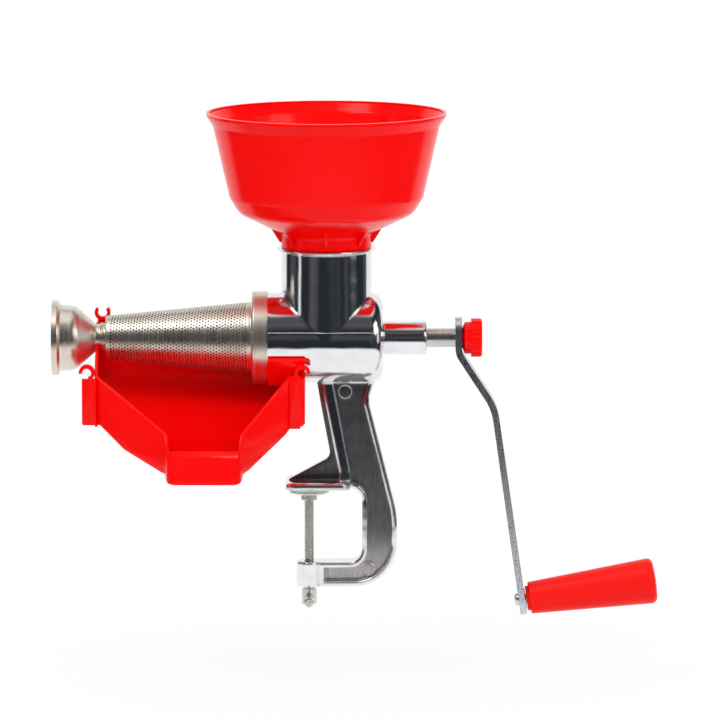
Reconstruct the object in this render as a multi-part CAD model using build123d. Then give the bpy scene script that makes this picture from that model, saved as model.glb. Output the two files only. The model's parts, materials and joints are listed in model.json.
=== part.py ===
"""Hand-cranked tomato strainer: an auger presses tomatoes along a perforated steel cone.

All sizes are in millimetres. +X runs along the auger's axis from the waste outlet to the
crank, +Y points away from the user's side with the juice spout, and +Z is up. The origin lies
on the clamp screw's axis, on the underside of the clamp's jaw, which rests on the table top.
"""

import os
from math import cos, radians, sin

from build123d import *

# --- clearances --------------------------------------------------------------------------
RUNNING_GAP = 0.05          # radial gap of a shaft that turns in a bore
SEAT_GAP = 0.3              # gap between parts that are pushed or laid together
STEP_GAP = 0.3              # gap between faces that turn against each other

# --- auger axis and barrel of the casting --------------------------------------------------
AXIS_Z = 120.0              # height of the auger's axis above the jaw's underside
BARREL_R = 36.0             # outside radius of the barrel and of the neck above it
BARREL_WALL = 4.0
BARREL_FRONT_X = -43.6      # open end that carries the strainer
BARREL_BACK_X = 59.0
BACK_WALL = 9.0
BACK_ROUNDING = 9.5
NECK_X = 14.0               # axis of the vertical neck
NECK_TOP_Z = 193.0
NECK_LIP = 3.0              # the lip stands out this far round the neck's mouth
NECK_LIP_HEIGHT = 2.0
BOSS_R = 13.5               # bearing boss behind the barrel
BOSS_END_X = 94.0

# --- leg, clamp jaw and lower arm of the casting -------------------------------------------
LEG_HALF = 10.0             # half thickness of the leg at its raised rims
WEB_HALF = 4.0              # half thickness of the recessed web
RIM = 4.0                   # width of the raised rims
RIB = 9.0                   # width of the rib down the leg's front edge
LEG_EDGE_ROUND = 1.2
THROAT_X = 42.5             # inner wall of the clamp's throat
THROAT_DEPTH = 60.6         # jaw's underside to the lower arm's upper face
THROAT_ROUND = 10.5
ARM_THICK = 19.4            # height of the lower arm
LEG_BACK_X = 70.6           # the leg reaches this far back
LEG_BELLY_Z = -22.0         # height at which it reaches that far
LEG_BELLY_ROUND = 70.0
LEG_HEEL_X = 69.6           # corner of the heel before it is rounded
LEG_HEEL_ROUND = 34.0
LEG_TOP_DROP = 31.4         # the leg's outline ends this far below the axis, inside the barrel
LEG_TOP_FRONT_X = 9.5
LEG_TOP_BACK_X = 53.0
LEG_NAPE = (47.6, 70.0)     # narrowest place of the leg, under the barrel
LEG_NAPE_ROUND = 14.0
RIB_FOOT = (24.0, 12.0)     # the rib's front edge turns upright here
GUSSET_TOP_X = 5.9          # thin web in front of the rib: top, waist, foot
GUSSET_WAIST = (9.9, 65.0)
GUSSET_WAIST_ROUND = 40.0
GUSSET_FOOT = (17.5, 24.5)
GUSSET_FOOT_ROUND = 7.0
GUSSET_INSET = 3.0          # the web ends this far behind the jaw's tip
JAW_TIP_X = -19.0
JAW_HEEL_X = 33.0
JAW_HALF_WIDTH = 23.0
JAW_THICK = 5.5
JAW_CORNER = 8.0
SCREW_BOSS_R = 10.2
SCREW_BOSS_BELOW = 1.0      # the boss stands this far below the lower arm
ARM_TO_BOSS = 2.5           # the lower arm runs this far into the screw boss
MARK_R = 5.6                # round ejector marks on the leg's web
MARK_HEIGHT = 0.8
MARKS = ((29.0, 77.0), (47.0, -66.8))

# --- strainer: perforated cone with its cup and its outlet bell ----------------------------
SHEET = 0.8                 # thickness of the stainless sheet
CONE_SMALL_X = -160.8
CONE_SMALL_R = 17.6
CONE_LARGE_X = -48.0
CONE_LARGE_R = 28.4
CUP_LENGTH = 12.6           # the cup reaches this far back over the barrel
GASKET_THICK = 1.0
GASKET_INSET = 1.2          # the gasket stops this far inside the barrel's outside
NECK_R = 11.7               # short neck behind the cone
WAIST_R = 10.9              # waist that the tray's clip snaps round
BEAD_R = 12.8
WAIST_X = -170.4            # the bell opens out from here
BELL_R = 26.0
BELL_LIP_R = 29.8
BELL_LIP_X = -199.0
BELL_END_X = -205.0

# --- auger -----------------------------------------------------------------------------------
AUGER_GAP = 0.9             # flight to barrel and flight to cone
AUGER_PITCH = 30.0
FLIGHT_THICK = 4.0
AUGER_TIP_X = -156.0
AUGER_BACK_X = 44.0
CORE_BACK_R = 16.0
CORE_TIP_R = 9.0

# --- shaft and what it runs in -----------------------------------------------------------------
SHAFT_R = 7.5
SHAFT_FRONT_X = 4.0         # the shaft ends here inside the auger
SQUARE = 10.0               # square end that drives the crank
STUD_R = 4.0                # threaded end that carries the knob
STUD_LENGTH = 11.5
BUSH_R = 9.6
SEAL_R = 13.0
SEAL_THICK = 3.0
WASHER_R = 15.0
WASHER_THICK = 1.6
PIN_R = 2.5                 # cross pin that locks the auger to the shaft
PIN_X = 14.0
SPRING_WIRE = 2.0
SPRING_R = 10.6             # middle radius of the coil
SPRING_TURNS = 4
SPRING_POCKET = 14.0        # depth of the pocket in the auger's back end

# --- crank arm, knob and grip ----------------------------------------------------------------
ARM_X = 119.6               # middle of the bar where it sits on the shaft
BAR_THICK = 5.2
BAR_WIDTH = 25.0
ARM_TOP_Z = 136.6
BEND_TOP = (119.6, 108.4)
BEND_LOW = (148.4, 64.5)
BEND_TOP_R = 14.0
BEND_LOW_R = 45.0
GRIP_PIN = (170.9, -92.0)   # centre of the rivet that carries the grip
KNOB_SEAT_R = 7.5           # the knob's collar flares from its seat so that it clears the bend
KNOB_FLARE = 2.4
KNOB_COLLAR_R = 12.8
KNOB_COLLAR = 7.4
KNOB_R = 15.4
KNOB_CAP = 8.8
KNOB_LOBES = 10
FLUTE_R = 3.4               # hollows between the knob's lobes
FLUTE_OUT = 2.1             # their centres lie this far outside the knob
INSERT_R = 5.6
RIVET_HEAD_R = 5.2
RIVET_HEAD = 3.2
SPINDLE_R = 4.0
GRIP_WASHER_R = 8.5
GRIP_WASHER = 0.8
GRIP_COLLAR_R = 10.0
GRIP_COLLAR = 2.4
GRIP_LENGTH = 101.6         # body of the grip behind its collar
GRIP_SMALL_R = 12.8
GRIP_LARGE_R = 18.5
GRIP_END_ROUND = 5.0
END_SCREW_HEAD_R = 5.0
END_SCREW_HEAD = 2.6
END_SCREW_R = 2.0
END_SCREW_LENGTH = 14.0

# --- hopper ------------------------------------------------------------------------------------
HOPPER_WALL = 2.4
SPIGOT_DEPTH = 15.0         # the spigot reaches this far down into the neck
COLLAR_TOP_Z = 204.5        # the sloping floor starts here
FLOOR_HIGH = (69.6, 221.0)
BOWL_LOW = (77.3, 233.5)
BOWL_HIGH = (90.4, 291.0)
RIM_EDGE = (95.5, 298.6)
RIM_TOP_Z = 301.0
HOPPER_FINS = 8             # small fins between collar and sloping floor
FIN_HALF = 0.9
FIN_DROP = 7.5              # a fin starts this far below the collar's top
FIN_REACH = 9.0
FIN_RISE = 5.0

# --- juice tray -----------------------------------------------------------------------------------
TRAY_WALL = 2.2
TRAY_LEFT_X = -170.3
TRAY_RIGHT_X = -3.0
TRAY_BEHIND = 4.0           # the basin reaches this far behind the barrel
TRAY_BEFORE = 1.0           # and this far in front of it
TRAY_TUCK = 2.0             # the front corners are drawn in by this much
SPOUT_LEFT_X = -113.0
SPOUT_RIGHT_X = -51.0
SPOUT_WALL_Y = -90.0        # the chute's side walls end here
SPOUT_Y = -99.0             # face of the down-turned spout lip
SPOUT_TIP_Z = 16.0
SPOUT_FOOT_Z = 24.0         # foot of the chute's side walls where they meet the lip
SPOUT_CORNER = 2.0          # the lip's upright corners are cut by this much
FLOOR_BACK_Z = 86.0
FLOOR_MID = (-60.0, 46.5)   # y and height where the floor flattens towards the spout
FLOOR_FRONT_Z = 41.0
SPOUT_CURL = 9.0
WALL_BACK_Z = 131.0
WALL_FRONT_Z = 92.0
WALL_SPOUT_Z = 55.0
WALL_LIP_DROP = 18.0        # the side walls drop by this much over the spout lip
WALL_SKIRT = 12.0           # they reach this far below the floor
WALL_DIP = 8.0              # the end walls dip this far below the axis round the strainer
WALL_DIP_BACK_Y = 18.0
WALL_DIP_FRONT_Y = -16.0
NECK_CLIP_WALL = 3.2
NECK_CLIP_LENGTH = 3.4
CLIP_OPENING = 70.0         # degrees of the neck clip that are open at the top
SADDLE_WALL = 2.6
SADDLE_FRONT_DEG = -18.0    # front edge of the saddle, measured up from the horizontal
SADDLE_BACK_DEG = 52.0
POST_WIDTH = 12.0
POST_DEPTH = 5.0
POST_FOOT_Z = 54.0
POST_ROUND = 1.5
POST_TUCK = 2.0             # the left post overlaps the basin's corner by this much
POST_BACK = 1.0             # the right post stands this far in from the right wall
HOOK_R = 6.4
HOOK_SINK = 1.5             # a hook's ring is sunk this far into what carries it
HOOK_LEFT = -2.0            # from the left post's middle to its hook
HOOK_RIGHT = 5.0            # from the right post's middle to its hook
HOOK_BACK_IN = 4.0          # from the left wall to the hook on the back wall
HOOK_WALL = 2.8
HOOK_WIDTH = 7.0
HOOK_OPENING = 100.0

# --- clamp ----------------------------------------------------------------------------------------
SCREW_R = 4.0
SCREW_TIP_R = 3.0
SCREW_HEAD_R = 6.0
SCREW_HEAD_GAP = 2.0        # lower arm's boss to the screw head when the pad is highest
SCREW_HEAD = 13.0
PAD_GAP = 3.0               # jaw to pad when the clamp is closed
PAD_R = 16.2
PAD_THICK = 2.4
PAD_SOCKET_R = 6.5
PAD_SOCKET = 6.0
BAR_R = 3.0
BAR_LENGTH = 62.0
BAR_END_R = 3.8
BAR_END = 4.0

# --- places that follow from the sizes above ------------------------------------------------------
TURN_AXIS = Axis((0, 0, AXIS_Z), (1, 0, 0))
NECK_AXIS = Axis((NECK_X, 0, 0), (0, 0, 1))
BARREL_BORE = BARREL_R - BARREL_WALL
BACK_FACE_X = BARREL_BACK_X - BACK_WALL
GASKET_X = BARREL_FRONT_X - GASKET_THICK
CUP_R = BARREL_R + SEAT_GAP + SHEET
SHAFT_END_X = ARM_X - BAR_THICK / 2
ARM_FACE_X = ARM_X + BAR_THICK / 2
LOWER_FACE_Z = -THROAT_DEPTH - ARM_THICK
BOSS_FOOT_Z = LOWER_FACE_Z - SCREW_BOSS_BELOW
HEAD_TOP_Z = BOSS_FOOT_Z - SCREW_HEAD_GAP
CROSS_HOLE_Z = HEAD_TOP_Z - SCREW_HEAD / 2
LEG_TOP_Z = AXIS_Z - LEG_TOP_DROP
TRAY_BACK_Y = BARREL_R + TRAY_BEHIND
TRAY_FRONT_Y = -BARREL_R - TRAY_BEFORE
SPINDLE_END = (BAR_THICK / 2 + GRIP_WASHER + 2 * STEP_GAP + GRIP_COLLAR
               + GRIP_LENGTH - GRIP_END_ROUND / 2)


# --- helpers ----------------------------------------------------------------------------------------
def rod_x(start, end, radius):
    """A round bar along the auger's axis, from x = start to x = end."""
    return Pos((start + end) / 2, 0, AXIS_Z) * Rot(0, 90, 0) * Cylinder(radius, end - start)


def tube_x(start, end, outer, inner):
    """A tube along the auger's axis."""
    return rod_x(start, end, outer) - rod_x(start, end, inner)


def rod_z(x, low, high, radius):
    """An upright round bar in the middle plane."""
    return Pos(x, 0, (low + high) / 2) * Cylinder(radius, high - low)


def turned(outline):
    """A solid turned about the auger's axis from a closed outline of (x, radius) points."""
    points = [(x, AXIS_Z + radius) for x, radius in outline]
    return revolve(Plane.XZ * make_face(Polyline(*points, close=True)), TURN_AXIS)


def sheet(line, wall, side, axis):
    """A sheet-metal or moulded shell turned about an axis from one side line in the XZ plane."""
    outline = Wire(line.edges()).offset_2d(wall, kind=Kind.INTERSECTION, side=side, closed=True)
    return revolve(Plane.XZ * Face(outline), axis)


def plate(corners, half_thick, edge_round=0.0):
    """A plate in the XZ plane, thick both ways, from (x, z, corner radius) corners."""
    body = extrude(Plane.XZ * plate_face(corners), half_thick, both=True)
    if edge_round:
        faces = body.faces().filter_by(Axis.Y)
        body = fillet(faces.edges(), edge_round)
    return body


def plate_face(corners):
    """A flat outline with its corners rounded, each by its own radius."""
    face = make_face(Polyline(*[(x, z) for x, z, _ in corners], close=True))
    for x, z, radius in corners:
        if radius:
            face = fillet(face.vertices().sort_by_distance((x, z, 0))[0], radius)
    return face


# --- the casting -----------------------------------------------------------------------------------
def leg_corners():
    """Outline of the C-shaped leg: front rib, throat, lower arm and rounded heel."""
    boss_x = SCREW_BOSS_R - ARM_TO_BOSS
    return [
        (LEG_TOP_FRONT_X, LEG_TOP_Z, 0),
        (LEG_TOP_BACK_X, LEG_TOP_Z, 0),
        (*LEG_NAPE, LEG_NAPE_ROUND),
        (LEG_BACK_X, LEG_BELLY_Z, LEG_BELLY_ROUND),
        (LEG_HEEL_X, LOWER_FACE_Z, LEG_HEEL_ROUND),
        (boss_x, LOWER_FACE_Z, 0),
        (boss_x, -THROAT_DEPTH, 0),
        (THROAT_X, -THROAT_DEPTH, THROAT_ROUND),
        (THROAT_X, 0, THROAT_ROUND),
        (RIB_FOOT[0], 0, 0),
        (*RIB_FOOT, 0),
    ]


def leg():
    """The leg with a pocket on both sides that leaves rims, a front rib and a thin web."""
    body = plate(leg_corners(), LEG_HALF, LEG_EDGE_ROUND)
    foot_x, foot_z = RIB_FOOT
    rib = make_face(Polyline(
        (LEG_TOP_FRONT_X, LEG_TOP_Z), (LEG_TOP_FRONT_X + RIB, LEG_TOP_Z), (foot_x + RIB, foot_z),
        (foot_x + RIB, 0), (foot_x, 0), (foot_x, foot_z), close=True))
    pocket = offset(plate_face(leg_corners()), -RIM, kind=Kind.INTERSECTION) - rib
    depth = LEG_HALF - WEB_HALF
    for side in (-1, 1):
        middle = side * (WEB_HALF + depth / 2)
        body -= Pos(0, middle, 0) * extrude(Plane.XZ * pocket, depth / 2, both=True)
        for x, z in MARKS:
            mark = Rot(90, 0, 0) * Cylinder(MARK_R, MARK_HEIGHT)
            body += Pos(x, side * (WEB_HALF + MARK_HEIGHT / 2), z) * mark
    return body


def gusset():
    """Thin web in front of the rib that runs down on to the jaw."""
    tip_x = JAW_TIP_X + GUSSET_INSET
    return plate([(GUSSET_TOP_X, LEG_TOP_Z, 0), (*GUSSET_WAIST, GUSSET_WAIST_ROUND),
                  (*GUSSET_FOOT, GUSSET_FOOT_ROUND), (tip_x, JAW_THICK + JAW_THICK / 6, 0),
                  (tip_x, JAW_THICK / 2, 0), (JAW_HEEL_X, JAW_THICK / 2, 0),
                  (JAW_HEEL_X, LEG_TOP_Z, 0)], WEB_HALF)


def jaw():
    """Upper jaw: a wide plate that lies on the table top."""
    length = JAW_HEEL_X - JAW_TIP_X
    body = Pos(JAW_TIP_X + length / 2, 0, JAW_THICK / 2) * Box(
        length, 2 * JAW_HALF_WIDTH, JAW_THICK)
    body = fillet(body.edges().filter_by(Axis.Z), JAW_CORNER)
    return chamfer(body.faces().sort_by(Axis.Z)[-1].edges(), JAW_THICK / 3)


def body_casting():
    """Barrel, neck, bearing boss, leg, jaw and screw boss, cast in one piece."""
    barrel = rod_x(BARREL_FRONT_X, BARREL_BACK_X, BARREL_R)
    barrel = fillet(barrel.edges().filter_by(GeomType.CIRCLE).sort_by(Axis.X)[-1], BACK_ROUNDING)
    neck = rod_z(NECK_X, AXIS_Z, NECK_TOP_Z, BARREL_R)
    lip = rod_z(NECK_X, NECK_TOP_Z - NECK_LIP_HEIGHT, NECK_TOP_Z, BARREL_R + NECK_LIP)
    lip = fillet(lip.edges().filter_by(GeomType.CIRCLE), NECK_LIP_HEIGHT / 2.5)
    boss = rod_x(BACK_FACE_X, BOSS_END_X, BOSS_R)
    boss = fillet(boss.edges().filter_by(GeomType.CIRCLE).sort_by(Axis.X)[-1], 1.5)
    screw_boss = rod_z(0, BOSS_FOOT_Z, -THROAT_DEPTH, SCREW_BOSS_R)
    screw_boss = chamfer(screw_boss.edges().filter_by(GeomType.CIRCLE), 0.8)
    casting = barrel + neck + lip + boss + leg() + gusset() + jaw() + screw_boss
    casting -= rod_x(BARREL_FRONT_X - 1, BACK_FACE_X, BARREL_BORE)
    casting -= rod_z(NECK_X, AXIS_Z, NECK_TOP_Z + 1, BARREL_BORE)
    casting -= rod_x(BACK_FACE_X, BACK_FACE_X + SEAL_THICK, SEAL_R)
    casting -= rod_x(BACK_FACE_X, BOSS_END_X + 1, BUSH_R)
    casting -= rod_z(0, BOSS_FOOT_Z - 1, 1 - THROAT_DEPTH, SCREW_R + RUNNING_GAP)
    return casting


# --- the strainer --------------------------------------------------------------------------------------
def cone_radius(x):
    """Outside radius of the strainer cone at x."""
    share = (x - CONE_SMALL_X) / (CONE_LARGE_X - CONE_SMALL_X)
    return CONE_SMALL_R + share * (CONE_LARGE_R - CONE_SMALL_R)


def strainer_cone():
    """The cone that carries the perforation, a rolled and welded sheet."""
    return turned([(CONE_SMALL_X, CONE_SMALL_R), (CONE_LARGE_X, CONE_LARGE_R),
                   (CONE_LARGE_X, CONE_LARGE_R - SHEET), (CONE_SMALL_X, CONE_SMALL_R - SHEET)])


def cone_band():
    """Cup pressed on the cone's large end: it slips over the barrel and covers the gasket."""
    floor_x = GASKET_X - SHEET
    line = FilletPolyline(
        (CONE_LARGE_X, AXIS_Z + CONE_LARGE_R),
        (floor_x, AXIS_Z + CONE_LARGE_R),
        (floor_x, AXIS_Z + CUP_R),
        (floor_x + CUP_LENGTH, AXIS_Z + CUP_R),
        radius=[1.0, 1.6])
    return sheet(line, SHEET, Side.RIGHT, TURN_AXIS)


def outlet_bell():
    """Shoulder, waist with its bead and the flared mouth where skins and seeds come out."""
    line = FilletPolyline(
        (CONE_SMALL_X, AXIS_Z + CONE_SMALL_R),
        (CONE_SMALL_X - 1.6, AXIS_Z + CONE_SMALL_R),
        (CONE_SMALL_X - 1.8, AXIS_Z + NECK_R),
        (CONE_SMALL_X - 3.8, AXIS_Z + NECK_R),
        (CONE_SMALL_X - 4.9, AXIS_Z + BEAD_R),
        (CONE_SMALL_X - 6.0, AXIS_Z + WAIST_R),
        (WAIST_X, AXIS_Z + WAIST_R),
        (WAIST_X - 16.0, AXIS_Z + BELL_R - 0.6),
        (BELL_LIP_X, AXIS_Z + BELL_R + 0.4),
        (BELL_LIP_X - 1.2, AXIS_Z + BELL_LIP_R),
        (BELL_END_X, AXIS_Z + BELL_LIP_R),
        radius=[0.9, 0.5, 0.5, 0.9, 0.5, 3.0, 12.0, 1.2, 1.4])
    return sheet(line, SHEET, Side.LEFT, TURN_AXIS)


def cone_gasket():
    """Flat rubber ring between the cup's floor and the barrel's end face."""
    return tube_x(GASKET_X, BARREL_FRONT_X, BARREL_R - GASKET_INSET, BARREL_BORE)


# --- auger, shaft and bearing ---------------------------------------------------------------------------
def flight(start, end, outer, thick):
    """Helical flight from x = start to x = end, wound in step with every other flight."""
    inner = CORE_TIP_R - 1.0
    helix = Helix(AUGER_PITCH, end - start, (inner + outer) / 2)
    section = Plane(origin=helix @ 0, x_dir=(1, 0, 0), z_dir=(0, 1, 0))
    blade = sweep(section * Rectangle(outer - inner, thick), path=helix, is_frenet=True)
    phase = 360.0 * (start - AUGER_TIP_X) / AUGER_PITCH
    return Pos(start, 0, AXIS_Z) * Rot(0, 90, 0) * Rot(0, 0, phase) * blade


def auger():
    """Moulded screw: a helical flight on a tapering core, trimmed to the cone and the barrel."""
    tip_r = cone_radius(AUGER_TIP_X) - SHEET - AUGER_GAP
    barrel_r = BARREL_BORE - AUGER_GAP
    barrel_start = BARREL_FRONT_X + FLIGHT_THICK
    slope = (CONE_LARGE_R - CONE_SMALL_R) / (CONE_LARGE_X - CONE_SMALL_X)
    reach = barrel_start - AUGER_TIP_X
    wrap = Pos(AUGER_TIP_X + reach / 2, 0, AXIS_Z) * Rot(0, 90, 0) * Cone(
        tip_r, tip_r + slope * reach, reach)
    front = Pos((AUGER_TIP_X + CONE_LARGE_X) / 2, 0, AXIS_Z) * Rot(0, 90, 0) * Cone(
        CORE_TIP_R, CORE_BACK_R, CONE_LARGE_X - AUGER_TIP_X)
    front += flight(AUGER_TIP_X + FLIGHT_THICK, barrel_start, barrel_r, FLIGHT_THICK) & wrap
    back = rod_x(CONE_LARGE_X, AUGER_BACK_X, CORE_BACK_R)
    back += flight(barrel_start, AUGER_BACK_X - FLIGHT_THICK, barrel_r, FLIGHT_THICK + 0.6)
    body = front + back
    body -= rod_x(SHAFT_FRONT_X - STEP_GAP, AUGER_BACK_X + 1, SHAFT_R + RUNNING_GAP)
    body -= rod_x(AUGER_BACK_X - SPRING_POCKET, AUGER_BACK_X + 1,
                  SPRING_R + SPRING_WIRE / 2 + SEAT_GAP)
    return body - Pos(PIN_X, 0, AXIS_Z) * Cylinder(PIN_R + RUNNING_GAP, 2 * BARREL_R)


def auger_shaft():
    """Steel shaft with a square end for the crank and a threaded stud for the knob."""
    body = rod_x(SHAFT_FRONT_X, SHAFT_END_X, SHAFT_R)
    body = chamfer(body.edges().filter_by(GeomType.CIRCLE).sort_by(Axis.X)[0], 1.0)
    middle = (SHAFT_END_X + ARM_FACE_X) / 2
    body += Pos(middle, 0, AXIS_Z) * Box(BAR_THICK, SQUARE, SQUARE)
    body += rod_x(ARM_FACE_X, ARM_FACE_X + STUD_LENGTH, STUD_R)
    return body - Pos(PIN_X, 0, AXIS_Z) * Cylinder(PIN_R + RUNNING_GAP, 2 * BARREL_R)


def drive_pin():
    """Cross pin through auger and shaft."""
    return Pos(PIN_X, 0, AXIS_Z) * Cylinder(PIN_R, 2 * CORE_BACK_R - 1.0)


def auger_spring():
    """Coil spring that holds the auger forward against the cone."""
    room = SPRING_POCKET + BACK_FACE_X - AUGER_BACK_X - WASHER_THICK - STEP_GAP
    height = room - SPRING_WIRE - 2 * RUNNING_GAP
    coil = Helix(height / SPRING_TURNS, height, SPRING_R)
    wire = Plane(origin=coil @ 0, z_dir=coil % 0) * Circle(SPRING_WIRE / 2)
    spring = sweep(wire, path=coil, is_frenet=True)
    start = AUGER_BACK_X - SPRING_POCKET + SPRING_WIRE / 2 + RUNNING_GAP
    return Pos(start, 0, AXIS_Z) * Rot(0, 90, 0) * spring


def thrust_washer():
    """Washer that takes the spring's push next to the barrel's back wall."""
    back = BACK_FACE_X - STEP_GAP
    return tube_x(back - WASHER_THICK, back, WASHER_R, SHAFT_R + RUNNING_GAP)


def shaft_seal():
    """Rubber ring in the back wall that keeps juice out of the bearing."""
    return tube_x(BACK_FACE_X, BACK_FACE_X + SEAL_THICK, SEAL_R, SHAFT_R + RUNNING_GAP)


def shaft_bush():
    """Plain bearing pressed into the boss."""
    return tube_x(BACK_FACE_X + SEAL_THICK, BOSS_END_X, BUSH_R, SHAFT_R + RUNNING_GAP)


# --- crank -----------------------------------------------------------------------------------------------
def grip_plane():
    """Plane square to the rivet, at the middle of the bar's thickness."""
    run = Vector(GRIP_PIN[0] - BEND_LOW[0], 0, GRIP_PIN[1] - BEND_LOW[1]).normalized()
    outward = Vector(-run.Z, 0, run.X)
    return Plane(origin=(GRIP_PIN[0], 0, GRIP_PIN[1]), x_dir=(0, 1, 0), z_dir=outward)


def on_grip(start, end, radius):
    """A round bar on the grip's axis, between two distances from the bar's middle."""
    return grip_plane() * Pos(0, 0, (start + end) / 2) * Cylinder(radius, end - start)


def crank_arm():
    """Flat bar with two bends, a square hole for the shaft and a round one for the rivet."""
    top = (ARM_X, ARM_TOP_Z - BAR_WIDTH / 2)
    path = Plane.XZ * FilletPolyline(top, BEND_TOP, BEND_LOW, GRIP_PIN,
                                     radius=[BEND_TOP_R, BEND_LOW_R])
    section = Plane(origin=(top[0], 0, top[1]), x_dir=(1, 0, 0), z_dir=(0, 0, -1))
    bar = sweep(section * Rectangle(BAR_THICK, BAR_WIDTH), path=path)
    bar += Pos(top[0], 0, top[1]) * Rot(0, 90, 0) * Cylinder(BAR_WIDTH / 2, BAR_THICK)
    bar += on_grip(-BAR_THICK / 2, BAR_THICK / 2, BAR_WIDTH / 2)
    hole = SQUARE + 2 * RUNNING_GAP
    bar -= Pos(ARM_X, 0, AXIS_Z) * Box(2 * BAR_THICK, hole, hole)
    return bar - on_grip(-BAR_THICK, BAR_THICK, SPINDLE_R + RUNNING_GAP)


def crank_knob():
    """Lobed knob that holds the arm on the shaft."""
    cap_x = ARM_FACE_X + KNOB_COLLAR
    end_x = cap_x + KNOB_CAP
    collar = turned([(ARM_FACE_X, 0), (ARM_FACE_X, KNOB_SEAT_R),
                     (ARM_FACE_X + KNOB_FLARE, KNOB_COLLAR_R), (cap_x, KNOB_COLLAR_R), (cap_x, 0)])
    cap = rod_x(cap_x, end_x, KNOB_R)
    cap = fillet(cap.edges().filter_by(GeomType.CIRCLE).sort_by(Axis.X)[-1], 2.0)
    reach = KNOB_R + FLUTE_OUT
    for index in range(KNOB_LOBES):
        angle = radians(360.0 * (index + 0.5) / KNOB_LOBES)
        flute = rod_x(cap_x - 1, end_x + 1, FLUTE_R)
        cap -= Pos(0, reach * cos(angle), reach * sin(angle)) * flute
    pocket = rod_x(ARM_FACE_X, ARM_FACE_X + STUD_LENGTH + STEP_GAP, INSERT_R)
    return collar + cap - pocket


def knob_insert():
    """Brass thread insert moulded into the knob."""
    return tube_x(ARM_FACE_X, ARM_FACE_X + STUD_LENGTH + STEP_GAP, INSERT_R, STUD_R + RUNNING_GAP)


def grip_spindle():
    """Rivet through the bar with a domed head: its long shank carries the grip."""
    shank = on_grip(-BAR_THICK / 2, SPINDLE_END, SPINDLE_R)
    head = on_grip(-BAR_THICK / 2 - RIVET_HEAD, -BAR_THICK / 2, RIVET_HEAD_R)
    rim = head.edges().filter_by(GeomType.CIRCLE).sort_by(Axis.X)[0]
    bore = on_grip(SPINDLE_END - END_SCREW_LENGTH - 1, SPINDLE_END + 1, END_SCREW_R + RUNNING_GAP)
    return shank + fillet(rim, RIVET_HEAD * 0.85) - bore


def grip_washer():
    """Thin washer between the bar and the turning grip."""
    start = BAR_THICK / 2
    return (on_grip(start, start + GRIP_WASHER, GRIP_WASHER_R)
            - on_grip(start - 1, start + GRIP_WASHER + 1, SPINDLE_R + RUNNING_GAP))


def grip():
    """Tapered handle that turns freely on its spindle."""
    start = BAR_THICK / 2 + GRIP_WASHER + STEP_GAP
    neck = start + GRIP_COLLAR
    end = neck + GRIP_LENGTH
    outline = Face(Wire(Polyline((0, start), (GRIP_COLLAR_R, start), (GRIP_COLLAR_R, neck),
                                 (GRIP_SMALL_R, neck), (GRIP_LARGE_R, end), (0, end + 1.5),
                                 close=True).edges()))
    for point, radius in (((GRIP_SMALL_R, neck), 1.6), ((GRIP_LARGE_R, end), GRIP_END_ROUND)):
        outline = fillet(outline.vertices().sort_by_distance((*point, 0))[0], radius)
    frame = grip_plane()
    side = Plane(origin=frame.origin, x_dir=frame.x_dir, z_dir=frame.x_dir.cross(frame.z_dir))
    body = revolve(side * outline, Axis(frame.origin, frame.z_dir))
    body -= on_grip(start - 1, end + 3, SPINDLE_R + RUNNING_GAP)
    return body - on_grip(SPINDLE_END - STEP_GAP, end + 3, END_SCREW_HEAD_R + SEAT_GAP)


def grip_end_screw():
    """Screw in the spindle's end that keeps the grip on."""
    head = on_grip(SPINDLE_END, SPINDLE_END + END_SCREW_HEAD, END_SCREW_HEAD_R)
    head = fillet(head.edges().filter_by(GeomType.CIRCLE).sort_by(Axis.X)[-1], END_SCREW_HEAD * 0.5)
    return head + on_grip(SPINDLE_END - END_SCREW_LENGTH, SPINDLE_END, END_SCREW_R)


# --- hopper --------------------------------------------------------------------------------------------------
def hopper():
    """Wide bowl with a collar that sits on the neck's lip and a spigot that drops inside it."""
    spigot_r = BARREL_BORE - SEAT_GAP
    seat_z = NECK_TOP_Z
    points = [(spigot_r, seat_z - SPIGOT_DEPTH), (spigot_r, seat_z), (BARREL_R, seat_z),
              (BARREL_R, COLLAR_TOP_Z), FLOOR_HIGH, BOWL_LOW, BOWL_HIGH, RIM_EDGE,
              (RIM_EDGE[0], RIM_TOP_Z)]
    line = FilletPolyline(*[(NECK_X + r, z) for r, z in points],
                          radius=[SEAT_GAP / 2, 0.8, 6.0, 14.0, 9.0, 4.0, 1.0])
    bowl = sheet(line, HOPPER_WALL, Side.LEFT, NECK_AXIS)
    root = BARREL_R - HOPPER_WALL / 2
    fin = extrude(Plane.XZ * make_face(Polyline(
        (root, COLLAR_TOP_Z - FIN_DROP), (root, COLLAR_TOP_Z + HOPPER_WALL / 2),
        (BARREL_R + FIN_REACH, COLLAR_TOP_Z + FIN_RISE),
        (BARREL_R + HOPPER_WALL / 2, COLLAR_TOP_Z - FIN_DROP), close=True)), FIN_HALF, both=True)
    for index in range(HOPPER_FINS):
        bowl += Pos(NECK_X, 0, 0) * Rot(0, 0, 360.0 * index / HOPPER_FINS) * fin
    return bowl


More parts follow.
